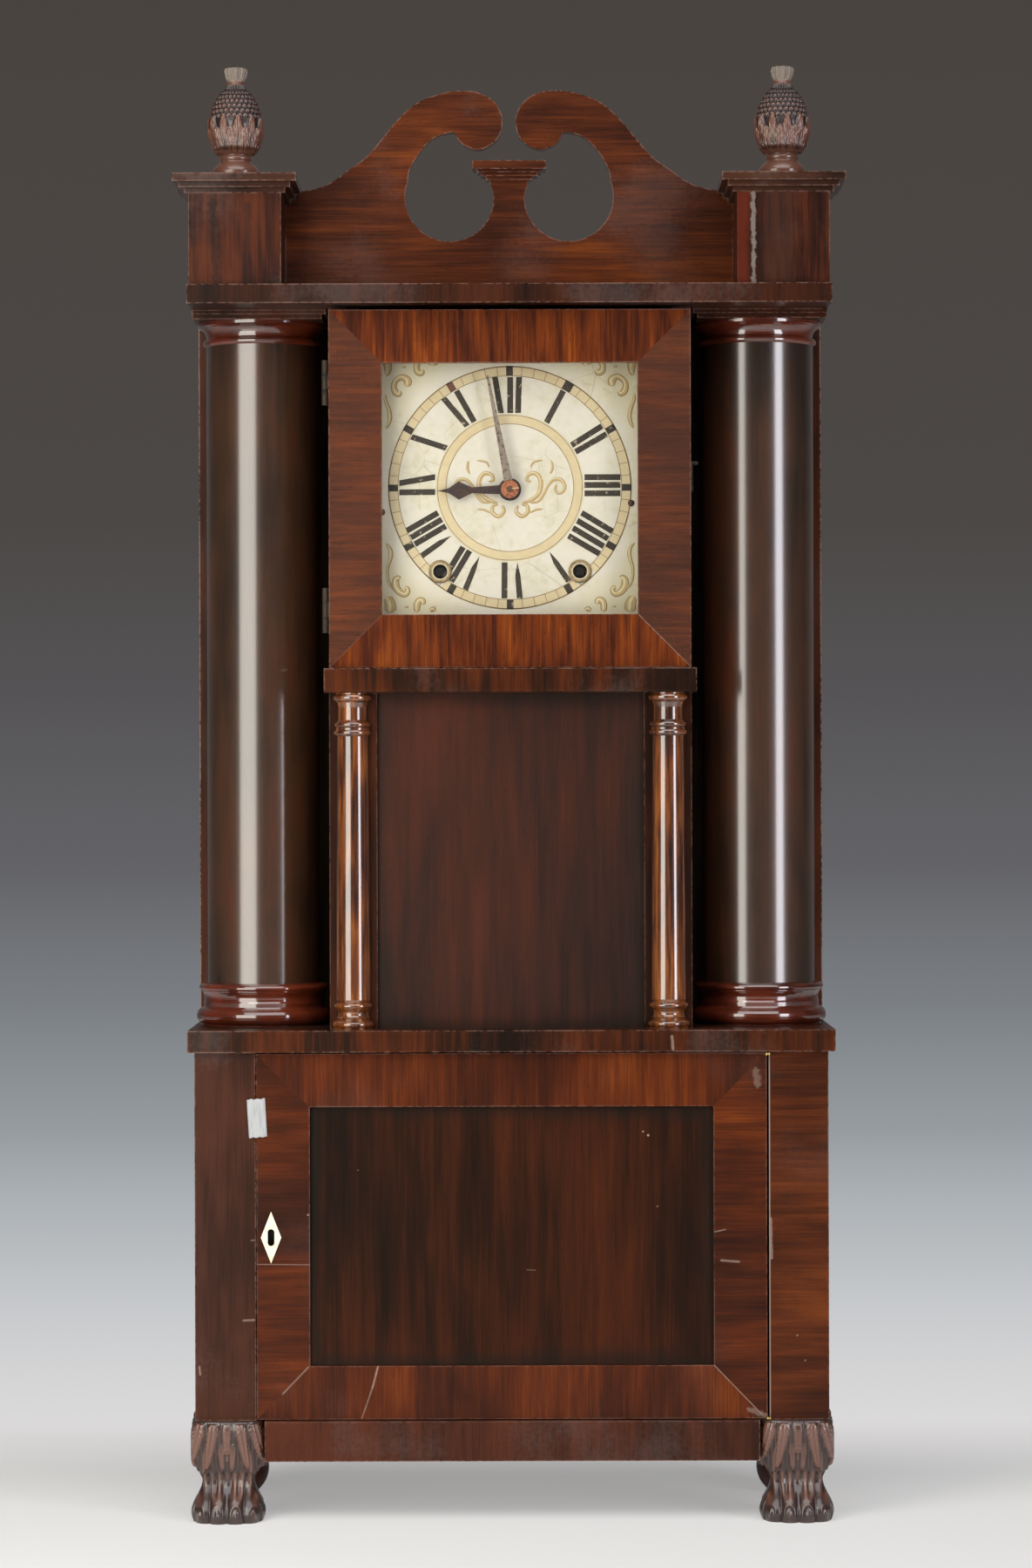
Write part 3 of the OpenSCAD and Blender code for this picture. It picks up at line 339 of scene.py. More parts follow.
@dataclass(frozen=True)
class WoodFinish:
    """Old polished veneer: broad clouds, bands along the grain, fine fibres, grime and worn arrises,
    with painted shade along a panel's edges and a painted grey sheen on a frame's stiles.

    Attributes:
        name: The material's name.
        darkest: Colour of the deepest streaks; dark, middle and light are the tones above it.
        grain: Which way the fibres run.
        cloud: Strength of the broad clouds, cloud_size their size.
        band: Strength of the bands, band_size their width.
        fibre: Strength of the fine fibres.
        gloss: Roughness of the wood.
        coat: Share of the polish, coat_ior and coat_gloss its index and roughness.
        back_coat: What is left of the polish behind the middle of the piece.
        shine: Specular level of the wood under the polish.
        wear: Share of the rubbed arrises, worn their colour.
        depth: Factor on each part of the four tones, which deepens them under the lamps.
        stile_tone: Added to the figure on a frame's stiles; stile_calm flattens the figure there and
        stile_sheen greys it with a painted sheen.
        grime_and_shade: Darkness of grime and painted shade along a panel's edges, hidden by a frame for a
            width of sunk.
        dust: Share of the dusty patches.
        seed: Moves the figure to another part of the noise.
        steel_before: Y in front of which the piece is its steel arbor.
        marks: Scratches and losses on the front.
    """

    name: str
    darkest: Colour
    dark: Colour
    middle: Colour
    light: Colour
    grain: Grain = Grain.UP
    cloud: float = 0.5
    cloud_size: float = 0.06
    band: float = 0.5
    band_size: float = 0.012
    fibre: float = 0.35
    gloss: float = 0.3
    coat: float = 0.04
    coat_ior: float = 1.5
    coat_gloss: float = 0.16
    back_coat: float = 1.0
    shine: float = 0.12
    wear: float = 0.5
    worn: Colour = seen(140, 108, 96)
    depth: Colour = (0.77, 0.78, 0.66)
    stile_tone: float = 0.0
    stile_calm: float = 0.0
    stile_sheen: float = 0.0
    grime_and_shade: float = 0.0
    sunk: float = 0.0
    dust: float = 0.0
    seed: float = 0.0
    steel_before: float = -1.0
    marks: tuple[Mark, ...] = ()

    # Grey of the painted sheen on a frame's stiles
    STILE_SHEEN_COLOUR = seen(84, 66, 56)
    # Colour of the grime and painted shade along a panel's edges
    GRIME_AND_SHADE_COLOUR = seen(24, 25, 21)
    DUST_COLOUR = seen(92, 78, 74)
    STEEL_COLOUR = seen(46, 40, 36)
    # Places of the four tones on the scale of the figure
    TONE_STOPS = (0.05, 0.35, 0.62, 0.97)

    def grain_place(self, bench: Bench, squeeze: float, box: Box) -> Wire:
        """Object place, squeezed along the grain so that noise is drawn out along it.

        Args:
            bench: The material being built.
            squeeze: Factor along the grain, below 1.
            box: The piece's box, for the mitres of a banded frame.

        Returns:
            The squeezed place.
        """
        shapes = {Grain.UP: (1.0, 1.0, squeeze), Grain.SIDEWAYS: (squeeze, 1.0, 1.0)}
        vectors = {0: bench.place, 1: (self.seed, self.seed, self.seed)}
        moved = bench.node("ShaderNodeVectorMath", {"operation": "ADD"}, vectors)
        if self.grain is not Grain.BANDED:
            return bench.scaled(shapes[self.grain], moved)
        upright = bench.scaled(shapes[Grain.UP], moved)
        sideways = bench.scaled(shapes[Grain.SIDEWAYS], moved)
        return bench.blend_places(upright, sideways, self.on_stiles(bench, box))

    def edges(self, bench: Bench, box: Box) -> tuple[Wire, Wire]:
        """Distances from the nearer side and from the nearer end of the front."""
        middle, half = box.middle, box.half
        return half[0] - (bench.x - middle[0]).size(), half[2] - (bench.z - middle[2]).size()

    def on_stiles(self, bench: Bench, box: Box) -> Wire:
        """1 on a frame's stiles and 0 on its rails, parted at 45 degrees by its mitres."""
        side, end = self.edges(bench, box)
        return (end - side).rise(-BORDER, BORDER)

    def figure(self, bench: Bench, box: Box) -> Wire:
        """Clouds, bands and fibres: layers of noise drawn out along the grain and added about a half.

        Args:
            bench: The material being built.
            box: The piece's box.

        Returns:
            The tone, from 0, dark, to 1, light.
        """
        # Each layer's weight, squeeze along the grain, scale, detail and bend
        layers = (
            (2.6 * self.cloud, 0.45, 1 / self.cloud_size, 3, 0.4),
            (1.7 * self.band, 0.14, 1 / self.band_size, 2, 0.5),
            (1.5 * self.band, 0.05, 3.2 / self.band_size, 2, 0.2),
            (1.7 * self.fibre, 0.03, 900, 3, 0.0),
        )
        first, *rest = (
            (bench.noise(self.grain_place(bench, squeeze, box), scale, detail, bend) - 0.5) * weight
            for weight, squeeze, scale, detail, bend in layers
        )
        tone = sum(rest, start=first)
        if self.stile_calm:
            tone = tone * (1 - self.on_stiles(bench, box) * self.stile_calm)
        return tone + 0.5

    def toned(self, bench: Bench, box: Box, tone: Wire) -> Wire:
        """The four tones on a ramp over the figure, with a frame's stiles darker and under a painted grey
        sheen.

        Args:
            bench: The material being built.
            box: The piece's box.
            tone: The figure.

        Returns:
            The clean wood's colour.
        """
        shades = (self.darkest, self.dark, self.middle, self.light)
        stops = [(at, tuple(np.multiply(shade, self.depth).tolist()))
                 for at, shade in zip(self.TONE_STOPS, shades)]
        shift = self.on_stiles(bench, box) * self.stile_tone if self.stile_tone else 0.0
        colour = bench.node("ShaderNodeValToRGB", {"stops": stops}, {"Fac": tone + shift})
        # A painted grey sheen over a frame's stiles
        if self.stile_sheen:
            colour = bench.blend(colour, self.STILE_SHEEN_COLOUR, self.on_stiles(bench, box) * self.stile_sheen)
        return colour

    def soiled_and_shaded(self, bench: Bench, box: Box, colour: Wire, soil: Wire, ragged: Wire) -> Wire:
        """Grime and painted shade along a panel's edges, and dusty patches.

        Args:
            bench: The material being built.
            box: The piece's box.
            colour: The clean wood.
            soil: Broad noise that spreads the grime, the painted shade and the dust.
            ragged: Fine noise that breaks its edges.

        Returns:
            The wood's colour with grime, painted shade and dust.
        """
        # Grime and painted shade darken a panel within 13 mm of its edges, beyond the sunk width
        if self.grime_and_shade:
            side, end = self.edges(bench, box)
            edge_grime_and_shade = (side.least(end) - self.sunk + (soil - 0.5) * 0.03).rise(13 * MM, 0.0)
            colour = bench.blend(colour, self.GRIME_AND_SHADE_COLOUR, edge_grime_and_shade * self.grime_and_shade)
        if self.dust:
            patches = (soil + (ragged - 0.5) * 0.25).rise(0.5, 0.72)
            colour = bench.blend(colour, self.DUST_COLOUR, patches * self.dust)
        return colour

    def rubbed(self, bench: Bench, soil: Wire, ragged: Wire) -> Wire:
        """Wear on the arrises, where the piece fills little of the space around a point.

        Args:
            bench: The material being built.
            soil: Broad noise.
            ragged: Fine noise.

        Returns:
            Share of wear.
        """
        settings = {"inside": True, "only_local": True, "samples": 6}
        arris = bench.node("ShaderNodeAmbientOcclusion", settings, {"Distance": 1.3 * MM}, output="AO")
        return (1 - arris).rise(0.12, 0.5) * (ragged * 0.6 + soil * 0.4).rise(0.4, 0.56) * self.wear

    def polish(self, bench: Bench, box: Box, rubbed: Wire) -> Wire:
        """Polish, less on rubbed arrises and less behind the middle of a turned piece.

        Args:
            bench: The material being built.
            box: The piece's box.
            rubbed: Share of wear on the arrises.

        Returns:
            Share of polish.
        """
        coat = (1 - rubbed) * self.coat
        if self.back_coat == 1:
            return coat
        middle, half = box.middle[1], box.half[1]
        behind = bench.y.rise(middle - 0.3 * half, middle + 0.2 * half)
        return coat * (1 - behind * (1 - self.back_coat))

    def material(self, box: Box) -> bpy.types.Material:
        """Builds the wood for one piece.

        Args:
            box: The piece's box, which places mitres, edges and marks.

        Returns:
            The material.
        """
        bench = Bench(self.name)
        tone = self.figure(bench, box)
        soil = bench.noise(bench.place, 14, 4)
        ragged = bench.noise(bench.place, 340, 3)
        colour = self.soiled_and_shaded(bench, box, self.toned(bench, box, tone), soil, ragged)
        pore = bench.noise(self.grain_place(bench, 0.06, box), 2400, 1).rise(0.6, 0.74)
        colour = bench.blend(colour, tuple(c * 0.4 for c in self.darkest), pore * 0.4)
        rubbed = self.rubbed(bench, soil, ragged)
        colour = bench.blend(colour, self.worn, rubbed)
        if self.marks:
            front = bench.y.rise(box.low[1] + 3 * MM, box.low[1] + 2 * MM)
            for mark in self.marks:
                colour = bench.blend(colour, mark.tint, mark.mask(bench, ragged) * front)
        metal = bench.y.rise(self.steel_before + BORDER, self.steel_before - BORDER)
        colour = bench.blend(colour, self.STEEL_COLOUR, metal)
        bench.bump(tone * 0.3 - pore, 0.15, 0.2 * MM)
        return bench.dress(
            Base_Color=colour,
            Metallic=metal * 0.7,
            Roughness=self.gloss + (soil - 0.5) * 0.12 + rubbed * 0.2,
            Coat_Weight=self.polish(bench, box, rubbed),
            Coat_Roughness=self.coat_gloss,
            Coat_IOR=self.coat_ior,
            Specular_IOR_Level=self.shine,
        )


@dataclass(frozen=True)
class MetalFinish:
    """Brass, steel or iron with tarnish.

    Attributes:
        name: The material's name.
        clean: Colour of the bright metal.
        stained: Colour of the tarnish.
        gloss: Roughness where it is bright.
        metallic: 1 for bare metal, less under dirt.
        stain: How far the tarnish spreads.
    """

    name: str
    clean: Colour
    stained: Colour
    gloss: float = 0.3
    metallic: float = 1.0
    stain: float = 0.5

    def material(self) -> bpy.types.Material:
        """Builds the metal.

        Returns:
            The material.
        """
        bench = Bench(self.name)
        cloud = bench.noise(bench.place, 130, 4)
        fine = bench.noise(bench.place, 900, 2)
        stain = (cloud * 0.7 + fine * 0.3).rise(0.62 - 0.3 * self.stain, 0.72)
        bench.bump(fine, 0.12, 0.2 * MM)
        return bench.dress(
            Base_Color=bench.blend(self.clean, self.stained, stain),
            Metallic=self.metallic * (1 - stain * 0.35),
            Roughness=self.gloss + stain * 0.3 + (fine - 0.5) * 0.1,
        )


@dataclass(frozen=True)
class PaintFinish:
    """Aged paint with stains, fine cracks and flecks where it has come off.

    Attributes:
        name: The material's name.
        colour: Colour of the sound paint.
        stained: Colour of its stains.
        below: Ground that shows in the flecks.
        flecks: How much has come off.
        gloss: Roughness.
    """

    name: str
    colour: Colour
    stained: Colour
    below: Colour
    flecks: float = 0.3
    gloss: float = 0.55

    def material(self) -> bpy.types.Material:
        """Builds the paint.

        Returns:
            The material.
        """
        bench = Bench(self.name)
        cloud = bench.noise(bench.place, 22, 5)
        mottle = bench.noise(bench.place, 190, 3)
        cracks = bench.cracks(120, 0.03)
        patch = bench.noise(bench.place, 320, 3)
        fleck = patch.rise(0.74 - 0.16 * self.flecks, 0.78 - 0.16 * self.flecks)
        stain = (cloud * 0.6 + mottle * 0.4).rise(0.42, 0.68)
        colour = bench.blend(self.colour, self.stained, stain * 0.7)
        colour = bench.blend(colour, self.below, fleck * 0.8)
        colour = bench.blend(colour, tuple(c * 0.75 for c in self.stained), cracks * 0.2)
        bench.bump(patch - cracks * 0.5, 0.1, 0.2 * MM)
        return bench.dress(Base_Color=colour, Roughness=self.gloss + (mottle - 0.5) * 0.2)


@dataclass(frozen=True)
class GlassFinish:
    """Thin old window glass that lets the dial show unbent, under a film of the given share."""

    name: str
    film: float = 0.07

    def material(self) -> bpy.types.Material:
        """Builds the glass.

        Returns:
            The material.
        """
        bench = Bench(self.name)
        wave = bench.noise(bench.place, 18, 1)
        bench.bump(wave, 0.05, 0.5 * MM)
        bench.material.surface_render_method = "BLENDED"
        haze = bench.noise(bench.place, 40, 3)
        return bench.dress(
            Base_Color=(0.05, 0.055, 0.05),
            Roughness=0.03 + haze * 0.04,
            Alpha=self.film + haze * 0.03,
            Specular_IOR_Level=0.5,
        )


@dataclass(frozen=True)
class CarvedFinish:
    """Carved mahogany: dark in the hollows, lighter and glossy on the ridges, pale where it is worn.

    Attributes:
        name: The material's name.
        hollow: Colour in the hollows.
        ridge: Colour on the ridges.
        worn: Colour of the rubbed tops.
        worn_above: Height from which all is worn; the default lies above the clock.
    """

    name: str
    hollow: Colour
    ridge: Colour
    worn: Colour
    worn_above: float = 9.0

    def material(self) -> bpy.types.Material:
        """Builds the finish; the mesh's own ridge attribute tells ridges from hollows.

        Returns:
            The material.
        """
        bench = Bench(self.name)
        ridge = bench.node("ShaderNodeAttribute", {"attribute_name": "ridge"}, {}, output="Fac")
        cloud = bench.noise(bench.place, 60, 4)
        fine = bench.noise(bench.scaled((1, 1, 0.15)), 900, 3)
        colour = bench.blend(self.hollow, self.ridge, (ridge + (cloud - 0.5) * 0.4).rise(0.25, 0.8))
        top = (bench.z + (cloud - 0.5) * 0.006).rise(self.worn_above, self.worn_above + 3 * MM)
        rubbed = (ridge + (fine - 0.5) * 0.3).rise(0.93, 1.1) * 0.5
        colour = bench.blend(colour, self.worn, top.most(rubbed))
        bench.bump(fine, 0.2, 0.3 * MM)
        return bench.dress(
            Base_Color=colour,
            Roughness=0.3 + top * 0.35 + (1 - ridge) * 0.15,
            Coat_Weight=0.9 * (1 - top),
            Coat_Roughness=0.14,
        )


# Surface tools


def rise(low: float, high: float, value: np.ndarray) -> np.ndarray:
    """Smooth step: 0 at low, 1 at high, 3t^2 - 2t^3 of the way t between."""
    t = np.clip((value - low) / (high - low), 0.0, 1.0)
    return t * t * (3 - 2 * t)


def flowing(points: list[Spot], where: np.ndarray) -> np.ndarray:
    """Smooth curve through points: cubic steps whose slopes average those of the neighbours.

    Args:
        points: (place, value) pairs, places rising.
        where: Places at which the curve is read.

    Returns:
        The curve's value at each of them.
    """
    at, value = np.array(points, float).T
    slope = np.gradient(value, at)
    i = np.clip(np.searchsorted(at, where) - 1, 0, len(at) - 2)
    h = at[i + 1] - at[i]
    t = np.clip((where - at[i]) / h, 0, 1)
    a = (1 + 2 * t) * (1 - t) ** 2 * value[i] + t * (1 - t) ** 2 * h * slope[i]
    return a + t * t * (3 - 2 * t) * value[i + 1] + t * t * (t - 1) * h * slope[i + 1]


def shaped(name: str, points: np.ndarray, faces: np.ndarray | list, smooth: bool = True) -> bpy.types.Object:
    """Makes an object at the origin.

    Args:
        name: The piece's name.
        points: Its points, in metres, in any grid.
        faces: Point numbers of each face, anticlockwise from outside.
        smooth: Whether its shading is smooth.

    Returns:
        The object, in the scene.
    """
    mesh = bpy.data.meshes.new(name)
    mesh.from_pydata(np.asarray(points).reshape(-1, 3).tolist(), [], [list(map(int, f)) for f in faces])
    mesh.polygons.foreach_set("use_smooth", np.full(len(mesh.polygons), smooth))
    mesh.update()
    piece = bpy.data.objects.new(name, mesh)
    bpy.context.scene.collection.objects.link(piece)
    return piece


def grid_faces(rows: int, columns: int, ring: bool) -> np.ndarray:
    """Quads between neighbouring rows of points.

    Args:
        rows: Number of rows, each above the last.
        columns: Points in a row, anticlockwise from above for faces that point outward.
        ring: Whether a row's last point joins its first.

    Returns:
        Four point numbers for each face.
    """
    i, k = np.meshgrid(np.arange(rows - 1), np.arange(columns if ring else columns - 1), indexing="ij")
    following = (k + 1) % columns
    quads = [i * columns + k, i * columns + following, (i + 1) * columns + following, (i + 1) * columns + k]
    return np.stack(quads, axis=-1).reshape(-1, 4)


def closed_skin(name: str, grid: np.ndarray) -> bpy.types.Object:
    """A closed surface from rings of points, bottom ring first, capped at both ends."""
    rows, columns, _ = grid.shape
    ends = [np.arange(columns)[::-1], (rows - 1) * columns + np.arange(columns)]
    return shaped(name, grid, [*grid_faces(rows, columns, True), *ends])


def inlay(name: str, outlines: list[np.ndarray], front: float, depth: float) -> bpy.types.Object:
    """Thin flat shapes that face the front: each outline drawn twice and joined by walls.

    Args:
        name: The piece's name.
        outlines: Anticlockwise (x, z) outlines seen from the front, each a single face.
        front: Y of the front faces.
        depth: Thickness behind them.

    Returns:
        One mesh that holds them all, closed.
    """
    points: list[np.ndarray] = []
    faces: list[np.ndarray] = []
    for outline in outlines:
        start = sum(len(p) for p in points)
        n = len(outline)
        for y in (front, front + depth):
            points.append(np.column_stack([outline[:, 0], np.full(n, y), outline[:, 1]]))
        ring = np.arange(n)
        after = (ring + 1) % n
        faces.append(start + ring)
        faces.append(start + n + ring[::-1])
        faces.extend(start + np.column_stack([ring + n, after + n, after, ring]))
    return shaped(name, np.vstack(points), faces, smooth=False)


Line = tuple[np.ndarray, np.ndarray]


def strips(name: str, lines: list[Line], front: float, depth: float) -> bpy.types.Object:
    """Thin strokes that face the front.

    At each point of a line a small rectangle stands across it, half the width to each side and from
    the front back by the depth; the rectangles are joined along the line and closed at its ends.

    Args:
        name: The piece's name.
        lines: Each line's (x, z) points and its width at each.
        front: Y of the front faces.
        depth: Thickness behind them.

    Returns:
        One mesh that holds them all, closed.
    """
    points, faces, start = [], [], 0
    for path, wide in lines:
        along = np.gradient(path, axis=0)
        along /= np.linalg.norm(along, axis=1)[:, None]
        left = np.column_stack([-along[:, 1], along[:, 0]]) * wide[:, None] / 2
        rows, back = len(path), front + depth
        edges = [(path + left, back), (path + left, front), (path - left, front), (path - left, back)]
        ring = np.stack([np.column_stack([p[:, 0], np.full(rows, y), p[:, 1]]) for p, y in edges], axis=1)
        points.append(ring.reshape(-1, 3))
        faces.extend(start + grid_faces(rows, 4, True))
        faces.extend([start + np.arange(4)[::-1], start + (rows - 1) * 4 + np.arange(4)])
        start += rows * 4
    return shaped(name, np.vstack(points), faces, smooth=False)


def mark_ridges(piece: bpy.types.Object, value: np.ndarray) -> None:
    """Stores a value from 0, hollow, to 1, ridge, on the points of a piece."""
    layer = piece.data.attributes.new("ridge", "FLOAT", "POINT")
    layer.data.foreach_set("value", np.clip(value, 0, 1).ravel().astype(np.float32))


def paint_node(node: str, material: bpy.types.Material) -> None:
    """Gives a CAD node one material.

    Args:
        node: The node's name.
        material: What it is dressed in.
    """
    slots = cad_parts[node].data.materials
    slots.clear()
    slots.append(material)
    LOG.info("%s dressed in %s", node, material.name)


def finish(piece: bpy.types.Object, material: bpy.types.Material, body: str) -> None:
    """Dresses a piece and makes it ride on a body.

    Args:
        piece: The new piece.
        material: What it is dressed in.
        body: The body of the frame that carries it.
    """
    piece.data.materials.clear()
    piece.data.materials.append(material)
    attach(piece, body)
    LOG.info("%s on %s: %d faces", piece.name, body, len(piece.data.polygons))


# Woods, written as they look under plain light


@dataclass
class CaseWood:
    """Puts wood on every board of the case and its doors."""

    base_panel: WoodFinish = WoodFinish(
        "base door panel", seen(30, 19, 15), seen(46, 25, 17), seen(66, 32, 20), seen(84, 40, 22),
        cloud=0.6, cloud_size=0.1, band=0.45, band_size=0.02, wear=0.1, grime_and_shade=0.55, sunk=4.8 * MM, seed=2.3,
        gloss=0.36, coat=0.02, shine=0.08, marks=(
            Mark((88.6, 261.6), (89.0, 261.6), 1.5, 0.9, 0.2),
            Mark((92.0, 259.2), (92.6, 259.0), 1.9, 0.9, 0.3),
            Mark((98.0, 211.0), (98.8, 211.2), 1.2, 0.5, 0.3), Mark((10.0, 168.4), (16.0, 168.1), 0.8, 0.35),
            Mark((-104.0, 236.0), (-103.6, 236.0), 1.2, 0.4, 0.3)))
    mid_panel: WoodFinish = WoodFinish(
        "tablet panel", seen(38, 25, 22), seen(52, 31, 27), seen(64, 35, 28), seen(80, 40, 30),
        cloud=0.75, cloud_size=0.11, band=0.4, band_size=0.018, wear=0.0, grime_and_shade=0.45, sunk=0.5 * MM,
        gloss=0.44, coat=0.0, shine=0.14, seed=0.9)
    left_stile: WoodFinish = WoodFinish(
        "left base stile", seen(42, 25, 20), seen(60, 34, 27), seen(78, 44, 35), seen(88, 50, 34),
        cloud=0.5, cloud_size=0.05, band=0.25, dust=0.35, wear=0.7, seed=5.1, marks=(
            Mark((-181.5, 135.0), (-174.0, 135.4), 1.9, 0.5), Mark((-211.2, 104.0), (-210.6, 98.5), 1.7, 0.6),
            Mark((-176.0, 189.0), (-173.6, 189.3), 1.4, 0.4)))
    right_stile: WoodFinish = WoodFinish(
        "right base stile", seen(44, 24, 17), seen(68, 33, 20), seen(92, 44, 24), seen(120, 60, 28),
        grain=Grain.SIDEWAYS, cloud=0.5, cloud_size=0.05, band=0.45, band_size=0.014, dust=0.12, wear=0.7,
        seed=6.2, marks=(
            Mark((174.1, 315.0), (174.1, 70.0), 1.1, 0.8, 0.3),
            Mark((174.8, 203.0), (175.2, 176.0), 2.4, 0.55),
            Mark((197.6, 107.0), (198.2, 107.2), 1.5, 0.5, 0.3),
            Mark((192.2, 124.0), (192.8, 124.2), 1.5, 0.5, 0.3)))
    side: WoodFinish = WoodFinish(
        "case side", seen(36, 21, 17), seen(54, 29, 21), seen(74, 38, 26), seen(92, 48, 28),
        cloud=0.5, band=0.4, band_size=0.016, wear=1.0, worn=seen(172, 138, 120), dust=0.1)
    hood_side: WoodFinish = WoodFinish(
        "box side", seen(26, 16, 13), seen(40, 22, 17), seen(60, 30, 20), seen(80, 40, 24),
        cloud=0.5, band=0.4, band_size=0.016, wear=0.4)
    block: WoodFinish = WoodFinish(
        "plinth block", seen(38, 22, 19), seen(60, 31, 25), seen(84, 42, 29), seen(96, 50, 32),
        cloud=0.6, cloud_size=0.03, band=0.6, band_size=0.01, wear=0.5, dust=0.25, seed=4.4, marks=(
            Mark((156.0, 895.0), (156.0, 820.0), 14.0, 0.75, 0.5, seen(88, 34, 20)),
            Mark((164.8, 895.0), (164.8, 820.0), 3.4, 0.5, 1.6, seen(150, 138, 130)),
            Mark((182.0, 895.0), (182.0, 820.0), 26.0, 0.5, 0.4, seen(52, 38, 32)),
            Mark((-200.0, 890.0), (-197.0, 826.0), 7.0, 0.6, 1.2, seen(34, 26, 24)),
            Mark((-176.0, 888.0), (-178.0, 832.0), 5.0, 0.5, 1.4, seen(34, 26, 24))))
    cap: WoodFinish = WoodFinish(
        "cap moulding", seen(36, 24, 22), seen(56, 34, 29), seen(72, 44, 36), seen(88, 56, 44),
        grain=Grain.SIDEWAYS, cloud=0.5, cloud_size=0.03, band=0.4, wear=0.7, dust=0.5, seed=7.4)
    cornice: WoodFinish = WoodFinish(
        "cornice board", seen(34, 21, 19), seen(52, 29, 23), seen(72, 37, 26), seen(86, 46, 30),
        cloud=0.5, cloud_size=0.07, band=0.3, band_size=0.016, wear=0.7, dust=0.35, seed=8.1)
    waist: WoodFinish = WoodFinish(
        "waist board", seen(30, 19, 16), seen(46, 26, 19), seen(68, 33, 20), seen(92, 44, 23),
        cloud=0.65, cloud_size=0.06, band=0.55, band_size=0.012, wear=0.7, dust=0.3, seed=1.3, marks=(
            Mark((108.2, 326.5), (109.0, 317.5), 2.4, 0.55),
            Mark((-66.6, 314.4), (-66.4, 314.4), 1.5, 0.95, 0.1, seen(206, 196, 184))))
    rail: WoodFinish = WoodFinish(
        "bottom rail", seen(42, 24, 19), seen(64, 34, 25), seen(86, 44, 31), seen(98, 50, 34),
        cloud=0.6, cloud_size=0.07, band=0.3, band_size=0.02, wear=0.9, dust=0.3, seed=9.7)
    upper_door: WoodFinish = WoodFinish(
        "cross banded door", seen(46, 22, 17), seen(78, 36, 24), seen(116, 54, 26), seen(160, 84, 32),
        grain=Grain.BANDED, cloud=0.32, cloud_size=0.045, band=0.46, band_size=0.009, wear=0.6,
        gloss=0.28, stile_tone=-0.1, stile_calm=0.35, stile_sheen=0.28, seed=0.35, marks=(
            Mark((-122.0, 576.0), (-87.0, 611.0), 0.7, 0.12),
            Mark((122.0, 576.0), (87.0, 611.0), 1.0, 0.32, 0.9)))
    base_door: WoodFinish = WoodFinish(
        "cross banded base door", seen(46, 23, 16), seen(70, 32, 19), seen(98, 44, 22), seen(134, 66, 28),
        grain=Grain.BANDED, cloud=0.4, cloud_size=0.05, band=0.36, band_size=0.016, wear=0.5, dust=0.1,
        stile_tone=-0.08, seed=3.1, marks=(
            Mark((-90.6, 103.6), (-94.5, 89.0), 1.5, 0.75, 0.5),
            Mark((-94.5, 89.0), (-101.5, 69.1), 1.1, 0.5, 0.9),
            Mark((-137.4, 103.6), (-155.0, 85.3), 1.4, 0.5, 0.5),
            Mark((136.2, 104.2), (168.7, 70.5), 0.9, 0.6, 0.6),
            Mark((-172.0, 172.9), (-136.4, 172.5), 0.8, 0.45), Mark((141.2, 174.8), (153.4, 173.8), 1.9, 0.5),
            Mark((136.8, 194.0), (144.3, 195.6), 1.1, 0.5),
            Mark((-137.8, 206.2), (-137.2, 206.2), 1.6, 0.7, 0.2),
            Mark((165.0, 303.0), (166.0, 293.0), 6.0, 0.3, 0.9),
            Mark((160.0, 74.0), (171.0, 70.0), 4.5, 0.4, 0.9)))
    column: WoodFinish = WoodFinish(
        "column veneer", seen(42, 30, 23), seen(60, 40, 30), seen(76, 48, 35), seen(98, 46, 30),
        cloud=0.5, cloud_size=0.045, band=0.35, band_size=0.02, gloss=0.3, coat=1.0, coat_ior=1.9,
        coat_gloss=0.18, back_coat=0.15, shine=0.3, wear=0.0, seed=1.7)
    turning: WoodFinish = WoodFinish(
        "turned mouldings", seen(46, 20, 15), seen(82, 32, 20), seen(112, 44, 26), seen(130, 56, 32),
        grain=Grain.SIDEWAYS, cloud=0.5, cloud_size=0.03, band=0.3, gloss=0.3, coat=1.0, coat_ior=1.95,
        coat_gloss=0.09, shine=0.2, wear=0.2)
    pilaster: WoodFinish = WoodFinish(
        "turned pilasters", seen(40, 20, 14), seen(78, 38, 20), seen(124, 66, 30), seen(170, 100, 44),
        cloud=0.4, cloud_size=0.03, band=0.7, band_size=0.006, gloss=0.3, coat=1.0, coat_ior=1.95,
        coat_gloss=0.1, shine=0.3, wear=0.0)
    crest: WoodFinish = WoodFinish(
        "crest board", seen(44, 24, 19), seen(70, 34, 23), seen(98, 48, 28), seen(134, 68, 32),
        grain=Grain.SIDEWAYS, cloud=0.6, cloud_size=0.06, band=0.3, band_size=0.008, wear=0.7, dust=0.25,
        seed=2.9)
    rough: WoodFinish = WoodFinish(
        "unpolished boards", seen(44, 33, 25), seen(66, 48, 35), seen(88, 64, 46), seen(104, 78, 56),
        gloss=0.7, coat=0.0, shine=0.2, wear=0.1, dust=0.3)
    oak: WoodFinish = WoodFinish(
        "oak", seen(96, 68, 42), seen(128, 94, 58), seen(150, 113, 72), seen(168, 130, 86),
        gloss=0.6, coat=0.0, shine=0.25, wear=0.0)
    cherry: WoodFinish = WoodFinish(
        "cherry", seen(110, 66, 40), seen(140, 86, 52), seen(160, 102, 64), seen(176, 116, 76),
        grain=Grain.SIDEWAYS, gloss=0.5, coat=0.0, wear=0.0, steel_before=-26.5 * MM)

